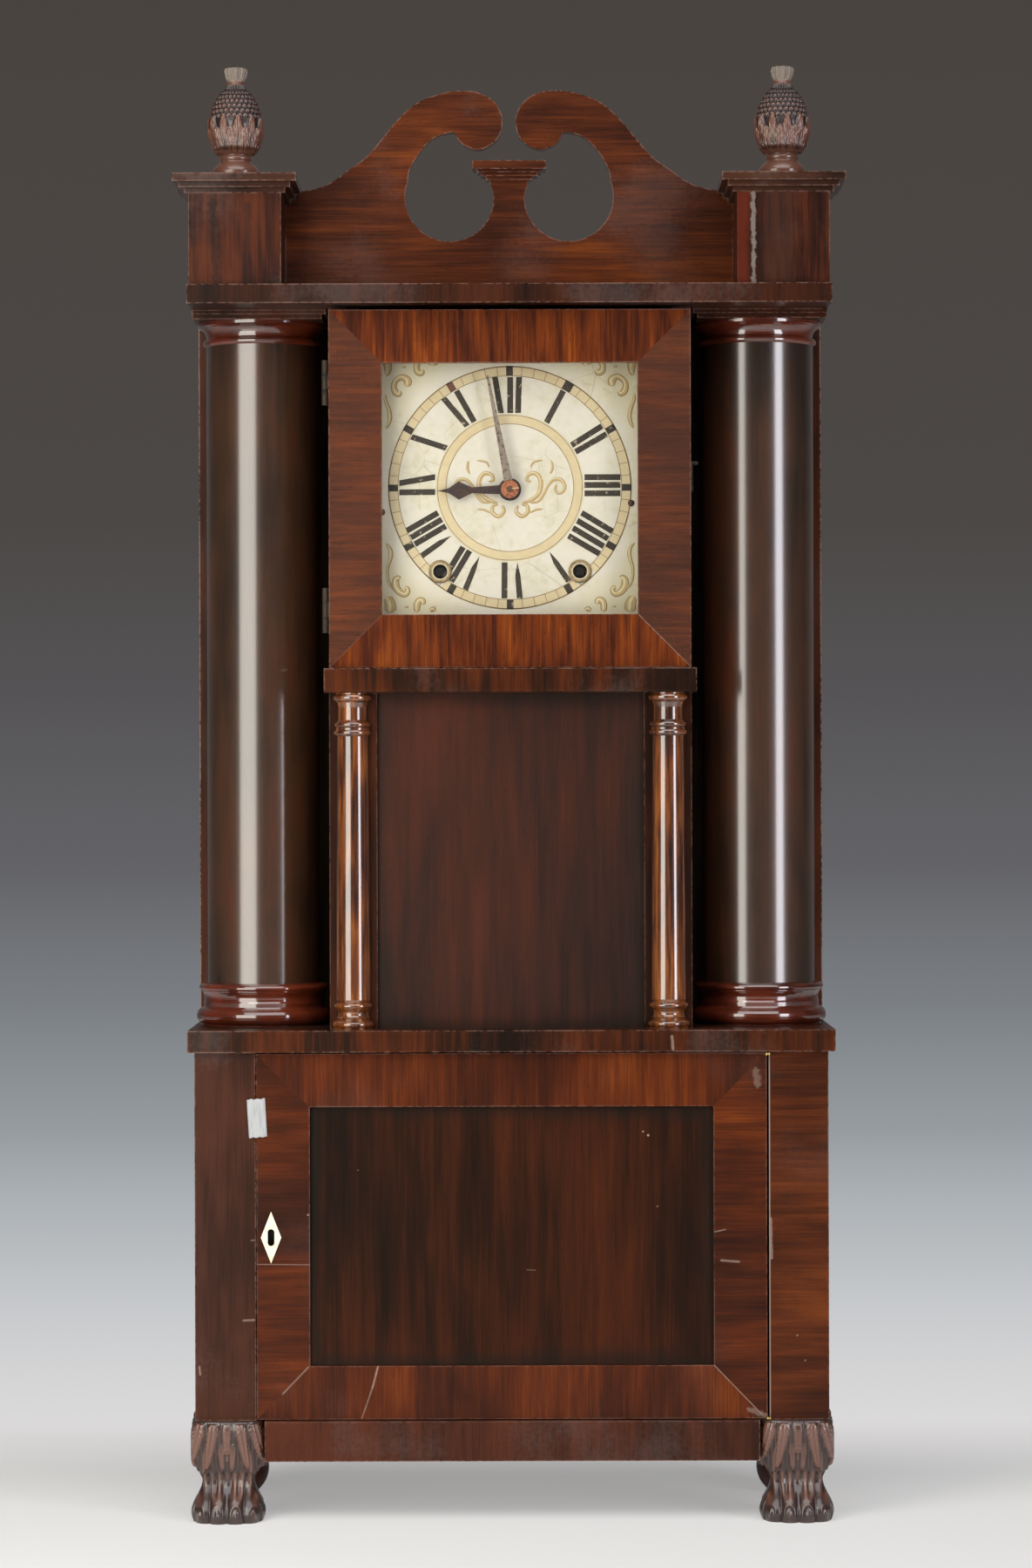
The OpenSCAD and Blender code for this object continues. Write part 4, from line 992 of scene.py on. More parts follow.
    def finishes(self) -> dict[WoodFinish, tuple[str, ...]]:
        """Which boards take which finish.

        Returns:
            The CAD nodes of each finish.
        """
        return {
            self.mid_panel: ("mid_panel",),
            self.base_panel: ("base_door_panel",),
            self.side: ("base_sides", "upper_sides"),
            self.hood_side: ("hood_sides", "mid_stiles"),
            self.block: ("plinth_blocks",),
            self.cap: ("plinth_caps",),
            self.cornice: ("cornice_board", "bed_mouldings"),
            self.waist: ("waist_board", "sill_moulding"),
            self.rail: ("bottom_rail",),
            self.upper_door: ("upper_door_frame",),
            self.base_door: ("base_door_frame",),
            self.column: ("column_shaft_left", "column_shaft_right"),
            self.turning: ("column_capitals", "column_bases", "rear_feet"),
            self.pilaster: ("pilasters",),
            self.crest: ("crest",),
            self.rough: ("backboard", "bottom_board"),
            self.oak: ("movement_frame", "seat_rails"),
            self.cherry: ("time_great_wheel", "strike_great_wheel", "time_drum", "strike_drum"),
        }

    def dress(self) -> None:
        """Assigns the woods; the two base stiles, one node, take one each."""
        for wood, nodes in self.finishes().items():
            for node in nodes:
                paint_node(node, wood.material(Box.of(node)))
        box = Box.of("base_stiles")
        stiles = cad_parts["base_stiles"].data
        stiles.materials.clear()
        for wood in (self.left_stile, self.right_stile):
            stiles.materials.append(wood.material(box))
        centres = np.array([face.center.x for face in stiles.polygons])
        stiles.polygons.foreach_set("material_index", (centres > 0).astype(np.int32))
        LOG.info("base_stiles dressed in %s and %s", self.left_stile.name, self.right_stile.name)


@dataclass
class Metalwork:
    """Finishes of the brass, steel and iron pieces."""

    brass: MetalFinish = MetalFinish("dull brass", (0.48, 0.33, 0.12), (0.16, 0.1, 0.045), gloss=0.34)
    old: MetalFinish = MetalFinish(
        "old hinge brass", seen(56, 44, 32), seen(34, 26, 20), gloss=0.6, metallic=0.3, stain=0.7)
    steel: MetalFinish = MetalFinish("polished steel", (0.55, 0.54, 0.52), (0.22, 0.2, 0.18), gloss=0.28)
    iron: MetalFinish = MetalFinish(
        "black iron", (0.05, 0.048, 0.046), (0.09, 0.05, 0.03), gloss=0.5, metallic=0.8)

    def dress(self) -> None:
        """Assigns the metals to the CAD nodes."""
        groups = {
            self.old: ("fixed_hinge_leaves", "upper_door_fittings", "latch_hook"),
            self.brass: ("base_hinge_leaves", "bell", "lock_bolt", "pendulum_bob", "motion_idler",
                         "third_wheel", "escape_wheel", "time_pulley", "strike_pulley",
                         "strike_second_wheel"),
            self.steel: ("pendulum_rod", "anchor", "hammer"),
            self.iron: ("lock_case", "time_weight", "strike_weight", "pulley_brackets"),
        }
        for metal, nodes in groups.items():
            material = metal.material()
            for node in nodes:
                paint_node(node, material)


@dataclass
class Hands:
    """Minute and hour hands with their washer and arbor.

    Attributes:
        centre: (x, z) place of the arbor.
        boss: Radius of the minute hand's coppery middle.
        boss_line: Radius of the dark line near its rim.
        arbor: Radius of the arbor's dark end.
        washer_back: Y behind which the arbor is brass.
        hand_back: Y behind which the hour hand's piece is its brass wheel.
        pin: Bright line of the taper pin.
        copper: Colours of the copper, clean and stained.
        wheel_brass: Colour of the brass behind the dial.
    """

    centre: Spot = (0.0, 0.697)
    boss: float = 6.3 * MM
    boss_line: float = 6.1 * MM
    arbor: float = 2.0 * MM
    washer_back: float = -41.2 * MM
    hand_back: float = -43.2 * MM
    pin: Mark = Mark((1.6, 697.4), (7.4, 697.9), 1.0, 0.9, 0.3, seen(222, 190, 140))
    copper: tuple[Colour, Colour] = (seen(190, 118, 78), seen(136, 78, 50))
    wheel_brass: Colour = (0.45, 0.3, 0.11)

    def dress(self) -> None:
        """Bright minute hand with a coppery boss, and a dark hour hand before its brass wheel."""
        paint_node("minute_hand", self.minute_material())
        paint_node("hour_hand", self.hour_material())
        paint_node("centre_arbor", self.arbor_material())

    def line(self, reach: Wire, radius: float) -> Wire:
        """A thin ring at a radius: the reach's distance from it, stepped."""
        return (reach - radius).size().rise(0.4 * MM, 0.1 * MM) * 0.8

    def minute_material(self) -> bpy.types.Material:
        """Steel, but coppery brown within the boss's radius of the centre.

        Returns:
            The material.
        """
        bench = Bench("minute hand")
        reach = bench.reach(self.centre)
        boss = reach.rise(self.boss + 0.2 * MM, self.boss - 0.2 * MM)
        cloud = bench.noise(bench.place, 500, 4)
        blade = bench.blend(seen(176, 160, 142), seen(112, 96, 84), cloud.rise(0.45, 0.7))
        colour = bench.blend(blade, bench.blend(*self.copper, cloud.rise(0.42, 0.66)), boss)
        colour = bench.blend(colour, seen(70, 44, 36), self.line(reach, self.boss_line))
        ragged = bench.noise(bench.place, 340, 3)
        colour = bench.blend(colour, self.pin.tint, self.pin.mask(bench, ragged))
        return bench.dress(Base_Color=colour, Metallic=0.5 - boss * 0.4, Roughness=0.36 + boss * 0.2)

    def arbor_material(self) -> bpy.types.Material:
        """Copper washer with a dark pinned end in front, brass wheels behind the dial.

        Returns:
            The material.
        """
        bench = Bench("centre arbor")
        reach = bench.reach(self.centre)
        cloud = bench.noise(bench.place, 500, 4)
        copper = bench.blend(*self.copper, cloud.rise(0.42, 0.66))
        around = reach.rise(self.arbor - 0.2 * MM, self.arbor + 0.2 * MM)
        colour = bench.blend(seen(96, 74, 48), copper, around)
        colour = bench.blend(colour, seen(66, 42, 30), self.line(reach, self.arbor))
        colour = bench.blend(colour, self.pin.tint, self.pin.mask(bench, cloud))
        behind = bench.y.rise(self.washer_back - 0.1 * MM, self.washer_back + 0.1 * MM)
        colour = bench.blend(colour, self.wheel_brass, behind)
        return bench.dress(Base_Color=colour, Metallic=0.1 + behind * 0.7, Roughness=0.5)

    def hour_material(self) -> bpy.types.Material:
        """Darkened steel in front, brass behind the hand.

        Returns:
            The material.
        """
        bench = Bench("hour hand")
        behind = bench.y.rise(self.hand_back - 0.1 * MM, self.hand_back + 0.1 * MM)
        cloud = bench.noise(bench.place, 400, 4)
        steel = bench.blend(seen(70, 56, 56), seen(94, 70, 54), cloud.rise(0.45, 0.7))
        colour = bench.blend(steel, self.wheel_brass, behind)
        return bench.dress(Base_Color=colour, Metallic=0.3 + behind * 0.5, Roughness=0.42)


@dataclass(frozen=True)
class Flourish:
    """A brush stroke of the dial's scrolls.

    Attributes:
        path: (x, z) places that it passes, from the hands' centre, in mm.
        wide: Its width at each of them, in mm.
    """

    path: tuple[Spot, ...]
    wide: tuple[float, ...]

    def line(self, centre: Spot, across: int, extra: float = 0.0, shift: Spot = (0.0, 0.0)) -> Line:
        """Follows the stroke smoothly; its ends taper as the root of the way to them.

        Args:
            centre: The hands' centre, in metres.
            across: 1, or -1 for the mirrored stroke.
            extra: Added to the width, in mm.
            shift: Moves the stroke, in mm.

        Returns:
            Points along the stroke and its width at each, in metres.
        """
        t = np.linspace(0, len(self.path) - 1, 12 * len(self.path))
        x, z = (flowing([(i, p[k]) for i, p in enumerate(self.path)], t) for k in (0, 1))
        wide = flowing(list(enumerate(self.wide)), t) + extra
        wide = wide * np.sqrt(np.clip(np.minimum(t, t[-1] - t) / 0.35 + 0.12, 0, 1))
        x, z = centre[0] + (x * across + shift[0]) * MM, centre[1] + (z + shift[1]) * MM
        return np.column_stack([x, z]), np.maximum(wide, 0.15) * MM


@dataclass
class PaintedDial:
    """Painted chapter ring, numerals, corner and centre scrolls on the dial board.

    Attributes:
        centre: (x, z) centre of the painted rings.
        front: Y of the board's face.
        lift: Thickness of a layer of paint.
        track: Inner and outer radius of the minute track.
        numerals: Inner and outer radius of the numerals.
        inner_ring: Inner and outer radius of the band inside them.
        track_arcs: Where the track is painted, in degrees clockwise from twelve: it stops at the
            winding holes.
        stroke: Width of a numeral's stroke.
        fine_line: Width of the ruled lines, of which each takes its own share.
        block: Half the width of an hour's block on the track; the one o'clock block is wider.
        tick: Half the width of a minute's tick.
        strokes: Each hour's strokes that are left.
        corners: Scrolls in the dial's corners, with stems along its sides and scrolls in the middle.
    """

    centre: Spot = (0.0, 0.6985)
    front: float = -41.0 * MM
    lift: float = 0.12 * MM
    track: Spot = (76.4 * MM, 82.9 * MM)
    numerals: Spot = (50.9 * MM, 75.4 * MM)
    inner_ring: Spot = (43.2 * MM, 49.6 * MM)
    track_arcs: tuple[Spot, ...] = ((145.4, 214.6), (225.0, 495.0))
    stroke: float = 4.0 * MM
    fine_line: float = 0.45 * MM
    block: float = 2.3 * MM
    wide_block: float = 3.2 * MM
    tick: float = 0.17 * MM
    # Offsets of each hour's strokes at the inner and outer end, in mm clockwise, and whether the inner
    # end is cut to a point as the thick stroke of a V is
    strokes: dict[int, list[tuple[float, float, bool]]] = field(default_factory=lambda: {
        12: [(-5.9, -10.0, False), (0.4, 0.4, False), (5.7, 6.5, False)],
        1: [(-0.4, -1.2, False)],
        2: [(-3.9, -4.8, False), (1.4, 1.5, False)],
        3: [(-7.0, -7.0, False), (-1.7, -1.7, False), (4.0, 4.0, False)],
        4: [(-9.5, -9.0, False), (-3.4, -3.1, False), (2.4, 2.8, False), (8.5, 8.7, False)],
        5: [(-1.2, -2.7, True)],
        6: [(3.7, 3.9, False), (-4.8, -6.6, True)],
        7: [(7.5, 8.0, False), (2.4, 2.8, False), (-5.2, -8.3, True)],
        8: [(9.8, 9.9, False), (4.6, 4.5, False), (-0.7, -0.8, False), (-8.1, -10.0, True)],
        9: [(7.4, 3.2, False), (-2.8, -3.0, False)],
        10: [(1.9, -3.3, False)],
        11: [(-4.0, -8.4, False), (1.5, 1.7, False)],
    })
    corners: tuple[Flourish, ...] = (
        Flourish(((70.0, 69.2), (69.6, 73.2), (73.4, 75.6), (77.4, 73.4), (79.0, 69.6), (78.0, 65.6),
                  (75.6, 64.0), (74.6, 66.4)), (3.6, 4.6, 3.4, 2.8, 3.2, 3.6, 3.0, 1.6)),
        Flourish(((52.2, 86.2), (52.4, 83.4)), (6.2, 5.4)),
        Flourish(((61.2, 86.4), (63.4, 83.4), (62.9, 79.4), (60.2, 78.4), (59.2, 80.8)),
                 (3.0, 3.2, 3.4, 3.2, 1.8)),
        Flourish(((83.5, 86.2), (82.9, 82.4), (83.2, 79.0), (84.4, 76.6)), (5.0, 4.6, 3.2, 1.2)),
        Flourish(((75.4, -62.4), (76.6, -61.6), (78.1, -63.4), (77.9, -67.3), (75.4, -70.8),
                  (72.0, -72.4), (69.9, -70.8), (70.2, -68.4), (72.0, -68.2)),
                 (2.6, 3.6, 4.2, 4.4, 3.8, 3.2, 2.6, 2.2, 1.4)),
        Flourish(((84.4, -74.0), (82.0, -78.6), (81.6, -84.6)), (4.4, 6.6, 7.0)),
        Flourish(((59.4, -79.4), (59.6, -77.0), (61.8, -76.6), (63.6, -79.4), (63.6, -84.4)),
                 (2.0, 3.2, 3.6, 3.8, 3.4)),
        Flourish(((51.4, -83.8), (52.8, -82.4), (54.8, -84.0)), (1.8, 2.4, 1.8)),
    )
    stems: tuple[Flourish, ...] = (
        Flourish(((84.9, 64.0), (84.6, 59.7), (82.6, 54.3), (81.6, 48.8), (82.4, 44.4), (84.4, 40.6)),
                 (1.0, 1.6, 2.0, 2.2, 1.8, 0.8)),
        Flourish(((84.8, -37.6), (82.2, -40.6), (81.2, -44.6), (81.9, -49.1), (83.4, -53.7), (83.6, -58.6),
                  (82.7, -63.9), (80.2, -68.6)), (0.8, 1.6, 2.2, 1.8, 1.4, 1.2, 1.2, 0.8)),
        Flourish(((72.0, 83.1), (72.0, 81.9)), (1.9, 1.9)),
        Flourish(((70.7, -80.2), (70.7, -81.6)), (1.9, 1.9)),
    )
    scrolls: tuple[Flourish, ...] = (
        Flourish(((14.4, 4.4), (11.4, 5.4), (12.6, 8.8), (17.0, 9.9), (20.4, 6.6), (21.0, 0.6), (18.8, -5.0),
                  (14.0, -8.4), (8.4, -10.2)), (1.0, 1.6, 2.0, 2.4, 2.6, 2.6, 2.4, 2.2, 1.2)),
        Flourish(((13.4, -10.2), (19.1, -9.2), (22.8, -4.6), (25.9, 1.4), (29.7, 5.4), (34.7, 5.4),
                  (37.4, 1.0), (35.6, -3.0), (32.2, -3.4), (30.6, -0.4), (32.0, 2.0)),
                 (0.8, 1.4, 1.6, 1.6, 1.8, 2.0, 1.8, 1.6, 1.4, 1.2, 0.8)),
        Flourish(((5.4, -12.0), (4.2, -16.0), (8.0, -19.4), (12.0, -16.6), (11.6, -12.2), (8.0, -11.2)),
                 (1.6, 2.0, 2.2, 2.2, 1.8, 1.2)),
        Flourish(((27.4, 9.4), (29.0, 13.6), (28.2, 18.6)), (0.6, 1.4, 0.6)),
        Flourish(((14.0, 14.0), (16.4, 17.6), (22.4, 18.8)), (0.5, 1.0, 0.4)),
        Flourish(((13.6, -17.0), (17.4, -15.0), (22.4, -14.4)), (0.5, 1.1, 0.4)),
    )
    black: PaintFinish = PaintFinish(
        "numeral paint", seen(52, 43, 32), seen(74, 62, 45), seen(180, 164, 130), flecks=0.7, gloss=0.5)
    ochre: PaintFinish = PaintFinish(
        "ochre band", seen(226, 208, 164), seen(213, 192, 148), seen(232, 220, 186), flecks=0.3)
    gilt: PaintFinish = PaintFinish(
        "scroll ochre", seen(206, 182, 124), seen(196, 160, 104), seen(226, 212, 166), flecks=0.35)
    shade: PaintFinish = PaintFinish(
        "brown outlines", seen(124, 98, 58), seen(150, 122, 78), seen(196, 178, 134), flecks=0.4)
    shine: PaintFinish = PaintFinish(
        "scroll lights", seen(238, 226, 184), seen(226, 208, 160), seen(214, 190, 140), flecks=0.4)
    pale: PaintFinish = PaintFinish(
        "faded scrolls", seen(204, 178, 120), seen(190, 160, 104), seen(226, 214, 184), flecks=0.42)
    contour: PaintFinish = PaintFinish(
        "scroll contours", seen(176, 146, 92), seen(190, 164, 112), seen(222, 208, 172), flecks=0.5)
    faded: PaintFinish = PaintFinish(
        "faded scroll lights", seen(232, 218, 180), seen(224, 208, 166), seen(232, 224, 200), flecks=0.5)
    brown: PaintFinish = PaintFinish(
        "repainted hour block", seen(112, 70, 50), seen(96, 60, 44), seen(170, 140, 110), flecks=0.2)

    @property
    def layer(self) -> float:
        """Y of the first layer's face."""
        return self.front - self.lift

    def ground(self) -> bpy.types.Material:
        """Cream ground, yellower and darker outside the chapter ring, with stains, dark mottling and hair
        cracks.

        Returns:
            The material.
        """
        bench = Bench("dial ground")
        cloud = bench.noise(bench.place, 24, 4)
        mottle = bench.noise(bench.place, 210, 3)
        outside = (bench.reach(self.centre) + (cloud - 0.5) * 0.02).rise(0.078, 0.1)
        stain = (cloud * 0.6 + mottle * 0.4).rise(0.42, 0.68)
        colour = bench.blend(seen(233, 227, 209), seen(224, 217, 190), stain)
        colour = bench.blend(colour, seen(222, 213, 180), outside)
        # Dark mottling, stronger outside the chapter ring
        dark_mottle = (mottle * 0.5 + cloud * 0.5).rise(0.56, 0.68) * (0.12 + outside * 0.4)
        colour = bench.blend(colour, seen(180, 170, 134), dark_mottle)
        cracks = bench.cracks(34, 0.012) * cloud.rise(0.5, 0.6)
        colour = bench.blend(colour, seen(150, 140, 116), cracks * 0.35)
        bench.bump(mottle - cracks, 0.1, 0.2 * MM)
        return bench.dress(Base_Color=colour, Roughness=0.5 + (mottle - 0.5) * 0.2, Specular_IOR_Level=0.3)

    def spot(self, radius: float, angle: np.ndarray) -> np.ndarray:
        """Points at a radius and clockwise angles from twelve, as (x, z)."""
        return np.array(self.centre) + radius * np.column_stack([np.sin(angle), np.cos(angle)])

    def polar(self, hour: float, corners: list[Spot]) -> np.ndarray:
        """Turns a shape from twelve o'clock to an hour.

        Args:
            hour: The hour, or a fraction of one.
            corners: Its corners, each a clockwise offset and a distance out.

        Returns:
            The corners as (x, z).
        """
        a = hour * math.pi / 6
        out = np.array([math.sin(a), math.cos(a)])
        side = np.array([math.cos(a), -math.sin(a)])
        places = np.array(corners)
        return np.array(self.centre) + places[:, :1] * side + places[:, 1:] * out

    def numeral(self, hour: int) -> list[np.ndarray]:
        """The strokes of an hour's numeral that are left.

        Args:
            hour: From 1 to 12.

        Returns:
            Each stroke's outline; the thick one of a V narrows below its knee to a point.
        """
        low, high = self.numerals
        knee = low + 9 * MM
        made = []
        for inner, outer, pointed in self.strokes[hour]:
            a, b, w = inner * MM, outer * MM, self.stroke / 2
            if pointed:
                k = a + (b - a) * (knee - low) / (high - low)
                corners = [(a - w * 0.1, low), (k + w, knee), (b + w, high), (b - w, high),
                           (k - w * 0.8, knee)]
            else:
                corners = [(a - w, low), (a + w, low), (b + w, high), (b - w, high)]
            made.append(self.polar(hour, corners))
        return made

    def ring_piece(self, name: str, inner: float, outer: float, front: float) -> bpy.types.Object:
        """A flat ring: a small rectangle carried round the centre.

        Args:
            name: The piece's name.
            inner: Its inner radius.
            outer: Its outer radius.
            front: Y of its face.

        Returns:
            The ring, closed.
        """
        sides, back = 240, front + self.lift * 0.9
        a = np.linspace(0, 2 * np.pi, sides, endpoint=False)
        rings = []
        for radius, y in ((inner, front), (outer, front), (outer, back), (inner, back)):
            spots = self.spot(radius, a)
            rings.append(np.column_stack([spots[:, 0], np.full(sides, y), spots[:, 1]]))
        i, k = np.meshgrid(np.arange(4), np.arange(sides), indexing="ij")
        quads = np.stack([i * sides + k, i * sides + (k + 1) % sides,
                          (i + 1) % 4 * sides + (k + 1) % sides, (i + 1) % 4 * sides + k], axis=-1)
        return shaped(name, np.stack(rings), quads.reshape(-1, 4)[:, ::-1], smooth=False)

    def broken_ring(self, name: str, inner: float, outer: float, front: float) -> bpy.types.Object:
        """A flat ring left out where the winding holes are: arcs of one radius and one width.

        Args:
            name: The piece's name.
            inner: Its inner radius.
            outer: Its outer radius.
            front: Y of its face.

        Returns:
            The arcs as one closed mesh.
        """
        lines = []
        for start, end in self.track_arcs:
            a = np.radians(np.linspace(start, end, round((end - start) * 0.8)))
            lines.append((self.spot((inner + outer) / 2, a), np.full(len(a), outer - inner)))
        return strips(name, lines, front, self.lift * 0.9)

    def bar(self, hour: float, half: float) -> np.ndarray:
        """A bar across the minute track at an hour or a fraction of one."""
        low, high = self.track
        return self.polar(hour, [(-half, low), (half, low), (half, high), (-half, high)])

    def paint(self, piece: bpy.types.Object, material: bpy.types.Material) -> None:
        """Puts a painted piece on the dial."""
        finish(piece, material, "case")

    def brushwork(self, name: str, strokes: tuple[Flourish, ...], paints: tuple[PaintFinish, ...],
                  edge: float) -> None:
        """Paints flourishes on both sides: dark outline, body and a thin light along it.

        Args:
            name: The set's name.
            strokes: The flourishes of the right half.
            paints: Finishes of the outline, the body and the light.
            edge: How much wider the outline is than the body, in mm.
        """
        # Each layer's name, extra width, shift and share of the width
        layers = (("outline", edge, (0.12, -0.14), 1), ("body", 0.0, (0.0, 0.0), 1),
                  ("light", 0.0, (-0.35, 0.3), 0.3))
        for level, ((part, extra, shift, share), paint) in enumerate(zip(layers, paints), start=1):
            lines = []
            for across in (-1, 1):
                for stroke in strokes:
                    points, wide = stroke.line(self.centre, across, extra, shift)
                    lines.append((points, wide * share))
            made = strips(f"dial_{name}_{part}", lines, self.front - self.lift * level, self.lift)
            self.paint(made, paint.material())

    def rings(self, shade: bpy.types.Material) -> None:
        """Paints the minute track, the inner band and the ruled lines along them.

        Args:
            shade: Paint of the dark lines.
        """
        ochre, light = self.ochre.material(), self.faded.material()
        self.paint(self.broken_ring("dial_track", *self.track, self.layer), ochre)
        self.paint(self.ring_piece("dial_inner_band", *self.inner_ring, self.layer), ochre)
        low, high = self.inner_ring
        ruled = self.fine_line
        # Each line's name, outer radius, width, paint and whether it stops at the winding holes
        for name, radius, width, paint, broken in (
                ("outer", self.track[1], ruled * 1.7, shade, False),
                ("inner", self.track[0], ruled * 0.9, shade, True),
                ("band_light", high + 0.7 * MM, 0.9 * MM, light, False),
                ("band_outer", high, ruled * 0.7, shade, False),
                ("band_inner", low + ruled, ruled * 0.7, shade, False)):
            ring = self.broken_ring if broken else self.ring_piece
            self.paint(ring("dial_line_" + name, radius - width, radius, self.layer - self.lift), paint)

    def figures(self, shade: bpy.types.Material) -> None:
        """Paints the numerals, the hour blocks and the minute ticks.

        Args:
            shade: Paint of the ticks.
        """
        black = self.black.material()
        above = self.layer - self.lift
        strokes = [stroke for hour in self.strokes for stroke in self.numeral(hour)]
        self.paint(inlay("dial_numerals", strokes, self.layer, self.lift), black)
        halves = {hour: self.wide_block if hour == 1 else self.block for hour in self.strokes}
        blocks = [self.bar(hour, halves[hour]) for hour in range(1, 13) if hour != 11]
        self.paint(inlay("dial_hour_blocks", blocks, above, self.lift), black)
        eleven = inlay("dial_hour_block_eleven", [self.bar(11, self.block)], above, self.lift)
        self.paint(eleven, self.brown.material())
        ticks = [self.bar(minute / 5, self.tick) for minute in range(60) if minute % 5]
        self.paint(inlay("dial_minute_ticks", ticks, above, self.lift), shade)

    def build(self) -> None:
        """Builds the painted work in layers, each a little in front of the last."""
        paint_node("dial", self.ground())
        shade = self.shade.material()
        self.rings(shade)
        self.figures(shade)
        self.brushwork("corners", self.corners, (self.shade, self.gilt, self.shine), 0.9)
        self.brushwork("stems", self.stems, (self.shade, self.gilt, self.shine), 0.7)
        self.brushwork("scrolls", self.scrolls, (self.contour, self.pale, self.faded), 0.55)


@dataclass
class PineappleFinial:
    """Carved finial: turned base, overlapping leaves, rows of studs and a worn crown.

    Attributes:
        x: Place of its axis across the front.
        y: Place of its axis from front to back.
        bottom: Height that it stands on.
        rows: Rings of points.
        sides: Points round each ring.
        leaf_rows: Base, tip, stagger in leaves and relief of each row of leaves, lengths in mm.
        leaves_round: Leaves in a row.
        stud_band: Heights between which the studs stand, in mm.
        stud_rows: Rows of studs.
        studs_round: Studs in a row.
        profile: (height, radius) points of the turned form, in mm, up to its top.
    """

    x: float
    y: float
    bottom: float
    rows: int = 236
    sides: int = 300
    leaf_rows: tuple = ((17.4, 42.5, 0.0, 2.2), (17.0, 35.0, 0.5, 2.6))
    leaves_round: int = 11
    stud_band: Spot = (41.0, 65.0)
    stud_rows: int = 7
    studs_round: int = 26
    profile: tuple[Spot, ...] = (
        (0, 15.2), (7.6, 15.2), (9, 14.2), (10.4, 12.9), (12.2, 10.9), (13.4, 11.3), (15.2, 11.5),
        (16.6, 10.6), (18.4, 13.0), (20.6, 15.0), (25, 16.4), (30, 17.6), (36, 18.2), (42, 17.8),
        (47, 16.9), (51.5, 15.4), (55.5, 13.4), (59, 11.0), (62, 8.2), (64.6, 6.3), (67, 5.7),
        (69.6, 6.5), (72, 7.0), (74.6, 7.4), (76.4, 6.6))

    def leaves(self, z: np.ndarray, a: np.ndarray) -> np.ndarray:
        """Two staggered rows of upright leaves.

        A leaf's half width falls with height as the root of 1 - t^2.2, t the way to its tip. Across
        it the relief is a round arch with a sunk midrib and slanting veins.

        Args:
            z: Heights, in mm.
            a: Angles round the axis.

        Returns:
            Relief at each point, in mm.
        """
        depth = np.zeros_like(z)
        for base, tip, stagger, lift in self.leaf_rows:
            phase = (a / (2 * np.pi) * self.leaves_round + stagger) % 1 - 0.5
            along = (z - base) / (tip - base)
            run = np.clip(along, 0, 1)
            wide = 0.5 * np.sqrt(np.clip(1 - run**2.2, 0, 1))
            across = np.abs(phase) / np.maximum(wide, 1e-3)
            leaf = np.sqrt(np.clip(1 - across**2, 0, 1)) * (0.4 + 0.6 * run)
            vein = np.cos(np.abs(phase) * 52 - along * 9)
            leaf -= 0.2 * np.exp(-((phase / 0.03) ** 2)) + 0.14 * vein * (1 - across**2)
            inside = (along > 0) & (along < 1) & (across < 1)
            depth = np.where(inside, np.maximum(depth, lift * leaf), depth)
        return depth

    def studs(self, z: np.ndarray, a: np.ndarray) -> np.ndarray:
        """Staggered rows of round studs above the leaves: half spheres on a brick grid.

        Args:
            z: Heights, in mm.
            a: Angles round the axis.

        Returns:
            Relief at each point, in mm, less for the higher studs.
        """
        low, high = self.stud_band
        row = (z - low) / (high - low) * self.stud_rows
        turn = a / (2 * np.pi) * self.studs_round + 0.5 * (np.floor(row) % 2)
        across = (turn % 1 - 0.5) * 2
        up = (row % 1 - 0.5) * 2
        dome = np.sqrt(np.clip(1 - (across**2 + up**2) * 0.95, 0, 1))
        return (0.8 + 0.6 * rise(66, 50, z)) * dome * ((z > low) & (z < high))

    def build(self, side: str) -> bpy.types.Object:
        """Carries the profile round the axis, with leaves, studs and the crown's ragged cosine added.

        Args:
            side: Which finial it is.

        Returns:
            The finial, closed, with its ridges marked.
        """
        top = self.profile[-1][0]
        z = np.linspace(0, top, self.rows)[:, None]
        a = np.linspace(0, 2 * np.pi, self.sides, endpoint=False)[None, :]
        z, a = np.broadcast_arrays(z, a)
        carved = rise(17, 20, z) * (1 - rise(63, 66, z))
        relief = np.maximum(self.leaves(z, a), self.studs(z, a)) - carved
        ragged = 0.55 * np.cos(a * 9) * np.abs(np.cos(a * 2.5)) + 0.3 * np.cos(a * 23)
        radius = flowing(list(self.profile), z[:, 0])[:, None] + relief + rise(66, 71, z) * ragged
        radius = radius * MM
        grid = [self.x + radius * np.cos(a), self.y + radius * np.sin(a), self.bottom + z * MM]
        piece = closed_skin("finial_" + side, np.stack(grid, axis=-1))
        mark_ridges(piece, 0.7 + (relief * 0.5 - 0.3) * carved)
        return piece


